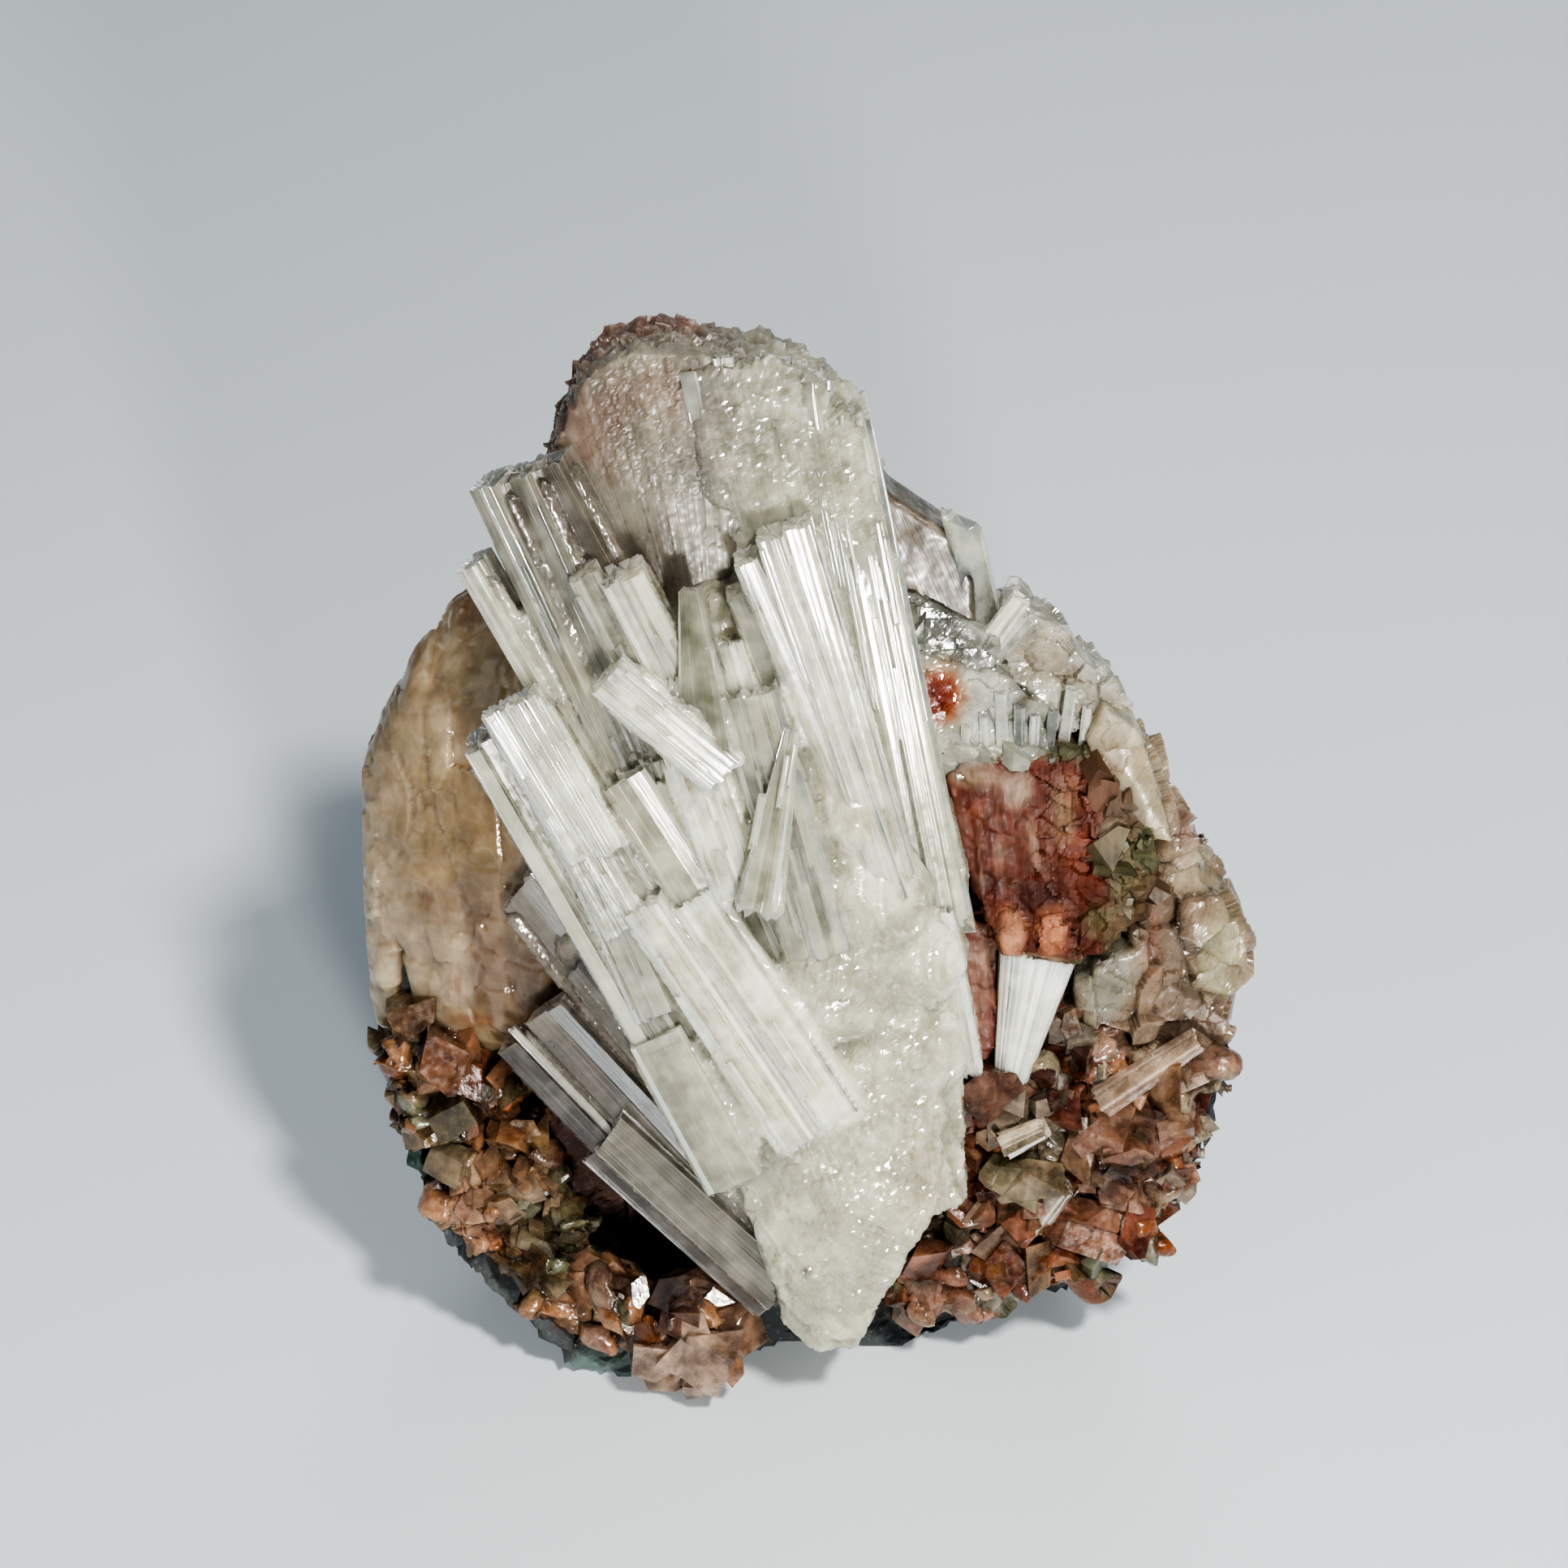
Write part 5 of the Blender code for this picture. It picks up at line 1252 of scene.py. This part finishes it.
NEEDLES = (
    # base, tip, width, colour
    ((20.2, 68.5, 6.5), (19.6, 77.5, 8.2), 1.3, GLASS),
    ((21.8, 68.5, 6.5), (21.6, 76.0, 8.2), 1.2, DARK_GLASS),
    ((23.2, 68.5, 6.0), (23.2, 75.0, 7.8), 1.1, GLASS),
    ((24.6, 69, 5.5), (25.2, 75.5, 7.2), 1.2, DARK_GLASS),
    ((26.2, 69.5, 4.6), (27.0, 77.5, 6.6), 1.3, GLASS), ((28.4, 69, 4.4), (28.8, 75.5, 6.2), 1.2, GLASS),
    ((17.4, 80, 4), (21.8, 87.0, 6.6), 2.2, SATIN_PAINTED_SHEEN), ((18.4, 79, 4), (22.6, 85.0, 6.4), 1.6, GLASS),
    ((16.4, 69, 6.4), (16.1, 74, 8.3), 1.0, GLASS), ((18.2, 68.5, 6.5), (17.9, 75, 8.2), 0.9, GLASS),
)


def clear_cluster():
    rng = np.random.default_rng(21)
    pile = Pile()
    mesh, points, normals = even(slabs_mesh(CLUSTER_HULLS), FACE_SIZE["cluster"], 4)
    calm = np.clip((far_from(points, *ORANGE_SPOT) - 2.0) / 2, 0.25, 1)
    calm = calm * (1 - 0.75 * np.clip(1.6 - far_from(points, 13, 83.5, 5.5, 3.4), 0, 1))
    relief = 0.3 * clouds(points / 4, 15) + 0.36 * facets(points, 3.0, 15) + 0.12 * facets(points, 1.15, 16)
    points = points + normals * (relief * calm)[:, None]
    tint = patched(points, (0.46, 0.465, 0.41), CLUSTER_PATCHES, 15, 0.35, 1.3)
    tint = patched(points, tint, SPOT_PATCHES, 15, 0.3, 1.6)
    tint = tint * (1 + 0.14 * cloud(points / 0.9, 3) * calm)[:, None]
    pile.add_mesh(mesh, points, points.copy(), tint, 0.5, False)

    def off_spot(spots, facing):
        below_glass = spots[:, 1] - 0.5 * (20 - spots[:, 0]) < 81.5
        return (facing[:, 2] > LEAST_FACING) & (far_from(spots, 13.6, 77) > 4.0) & below_glass

    for count, low, high, sink in ((46, 2.2, 4.0, 0.34), (30, 1.0, 1.9, 0.2)):
        spots, facing = spread(rng, mesh, count, off_spot)
        sizes = log_sizes(rng, low, high, len(spots))
        tints = patched(spots, (0.54, 0.545, 0.47), CLUSTER_PATCHES, 15, 0.35, 1.3)
        grow(pile, rng, spots - facing * sizes[:, None] * sink, facing, sizes, tints, tall=1.0, clear=0.6)
    for base, tip, wide, tint in NEEDLES:
        prism(pile, rng, base, tip, wide, wide * 0.9, tint, 0.5, 0.03, 0.3, clear=0.6, taper=0.9)
    return pile


def stage():
    """A pale floor that curves up far behind."""
    wide, deep, radius = 3.0, 2.2, 0.8
    rows = [(-2.5, 0.0), (deep - radius, 0.0)]
    for i in range(1, 13):
        turn = math.pi / 2 * i / 12
        rows.append((deep - radius + radius * math.sin(turn), radius - radius * math.cos(turn)))
    rows.append((deep, 3.0))
    verts = [(x, y, z) for y, z in rows for x in (-wide, wide)]
    faces = [(2 * i, 2 * i + 1, 2 * i + 3, 2 * i + 2) for i in range(len(rows) - 1)]
    mesh = bpy.data.meshes.new("floor")
    mesh.from_pydata(verts, [], faces)
    mesh.materials.append(floor_material())
    floor = bpy.data.objects.new("floor", mesh)
    for face in mesh.polygons:
        face.use_smooth = True
    bpy.context.scene.collection.objects.link(floor)


def aimed(made_object, spot, target):
    made_object.location = spot
    made_object.rotation_euler = (Vector(target) - Vector(spot)).to_track_quat("-Z", "Y").to_euler()
    bpy.context.scene.collection.objects.link(made_object)


def lamp(name, spot, target, power, size, colour):
    data = bpy.data.lights.new(name, "AREA")
    data.energy = power
    data.size = size
    data.color = colour
    aimed(bpy.data.objects.new(name, data), spot, target)


CAMERA_RISE = math.radians(36.0)
CAMERA_LENS = 85.0
CAMERA_AWAY = 0.380
CAMERA_TARGET = (-2.4, 67.65, 8.0)
LAMP_TARGET = (0.0, 0.01, 0.05)
LAMPS = (
    # name, place, watts, size, colour
    ("key", (0.23, -0.35, 0.67), 5.6, 0.08, (1.0, 0.96, 0.9)),
    ("sheen", (0.13, -0.60, 0.17), 3.6, 0.05, (1.0, 0.97, 0.93)),
    ("fill", (-0.6, -0.5, 0.5), 0.75, 0.6, (0.92, 0.96, 1.0)),
    ("back", (0.2, 0.7, 0.6), 1.5, 0.4, (1.0, 1.0, 1.0)),
)
SKY_COLOUR, SKY_STRENGTH = (0.85, 0.93, 1.0, 1.0), 0.18


def light_and_camera():
    target = Vector(to_world(CAMERA_TARGET))
    for name, spot, power, size, colour in LAMPS:
        lamp(name, spot, LAMP_TARGET, power, size, colour)
    world = bpy.data.worlds.new("studio")
    world.use_nodes = True
    background = world.node_tree.nodes["Background"]
    background.inputs["Color"].default_value = SKY_COLOUR
    background.inputs["Strength"].default_value = SKY_STRENGTH
    bpy.context.scene.world = world
    data = bpy.data.cameras.new("camera")
    data.lens = CAMERA_LENS
    data.sensor_width = 36.0
    data.clip_start = 0.01
    camera = bpy.data.objects.new("camera", data)
    back = Vector((0, -math.cos(CAMERA_RISE), math.sin(CAMERA_RISE)))
    aimed(camera, target + back * CAMERA_AWAY, target)
    bpy.context.scene.camera = camera
    bpy.context.scene.view_settings.look = "AgX - High Contrast"


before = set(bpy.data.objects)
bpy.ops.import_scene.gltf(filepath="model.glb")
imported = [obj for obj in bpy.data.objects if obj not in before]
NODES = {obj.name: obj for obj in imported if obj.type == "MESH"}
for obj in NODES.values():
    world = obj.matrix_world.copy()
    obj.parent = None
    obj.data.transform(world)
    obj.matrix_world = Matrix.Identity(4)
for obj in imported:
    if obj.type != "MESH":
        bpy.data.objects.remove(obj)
cad_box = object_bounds()
BOX_LOW, BOX_HIGH = np.array(cad_box[0]), np.array(cad_box[1])
SHAPES = cut_shapes(np.random.default_rng(2), 24, 4, 0.2)

white = mineral("white_scolecite", (0.04, 0.2), (0.86, 0.87, 0.8), lines=(6.0, 0.05, 1.0), line_depth=3e-5,
                streaks=0.3, veils=0.4, marble=0.15, glow=0.8, glow_reach=0.006)
mass = mineral("massive_scolecite", (0.1, 0.3), (0.86, 0.87, 0.8), lines=(3.0, 0.1, 1.0), line_depth=2e-5,
               streaks=0.25, veils=0.4, marble=0.2, glow=0.8, glow_reach=0.006, coat=0.25, sparkle=3e-5)
honey = mineral("honey_stilbite", (0.14, 0.24), (0.42, 0.34, 0.23), lines=(5.0, 0.06, 1.0), line_depth=2e-6,
                streaks=0.03, veils=0.5, marble=0.25, glow=1.0, glow_reach=0.007)
dome = mineral("top_stilbite", (0.24, 0.5), (0.40, 0.385, 0.34), lines=(4.0, 0.06, 1.0), line_depth=2e-5,
               streaks=0.25, veils=0.4, marble=0.2, glow=0.9, glow_reach=0.005, coat=0.0, sparkle=3e-5,
               specular=0.35)
pearly = mineral("pearly_stilbite", (0.2, 0.42), (0.42, 0.38, 0.30), lines=(4.0, 0.06, 1.0), line_depth=1e-5,
                 streaks=0.12, veils=0.4, marble=0.3, glow=0.9, glow_reach=0.005, coat=0.06, specular=0.35)
glassy = mineral("glassy_apophyllite", (0.1, 0.32), (0.62, 0.48, 0.34), lines=(2.2, 2.2, 2.2),
                 line_depth=5e-5, streaks=0.3, veils=0.5, marble=0.6, glow=0.4, glow_reach=0.003,
                 ior=APOPHYLLITE_IOR, coat=0.0)
red = mineral("red_heulandite", (0.36, 0.6), (0.12, 0.026, 0.01), lines=(3.5, 0.12, 1.0), line_depth=3e-5,
              streaks=0.3, veils=0.08, marble=0.3, glow=0.2, glow_reach=0.0015, coat=0.0, specular=0.2)
colourless = mineral("clear_apophyllite", (0.08, 0.26), (0.6, 0.59, 0.52), lines=(2.0, 2.0, 1.0),
                     line_depth=3e-5, streaks=0.2, veils=0.3, marble=0.3, glow=0.2, glow_reach=0.003,
                     ior=APOPHYLLITE_IOR, coat=0.3)

made("scolecite_prisms_looks", spray(), white, "scolecite_spray")
made("scolecite_body_looks", spray_body(), mass, "scolecite_spray")
made("small_fan_looks", small_fan(), white, "scolecite_small_fan")
made("left_sheaf_looks", left_sheaf(), honey, "stilbite_left_sheaf")
made("top_fan_looks", top_fan(), dome, "stilbite_top_fan")
made("upper_right_leaf_looks", leaf(), pearly, "stilbite_upper_right_leaf")
made("right_plates_looks", plates(), pearly, "stilbite_right_plates")
made("basalt_looks", shell(), basalt(), "basalt_shell")
made("left_crust_looks",
     crust("apophyllite_left_crust", 41, LEFT_PALETTE, LEFT_PATCHES, LEFT_GROUPS, LEFT_RIM),
     glassy, "apophyllite_left_crust")
made("right_crust_looks",
     crust("apophyllite_right_crust", 53, RIGHT_PALETTE, RIGHT_PATCHES, RIGHT_GROUPS, RIGHT_RIM,
           RIGHT_PRISMS),
     glassy, "apophyllite_right_crust")
made("red_mass_looks", red_mass(), red, "heulandite_red_mass")
made("clear_cluster_looks", clear_cluster(), colourless, "clear_prism_cluster")
stage()
light_and_camera()
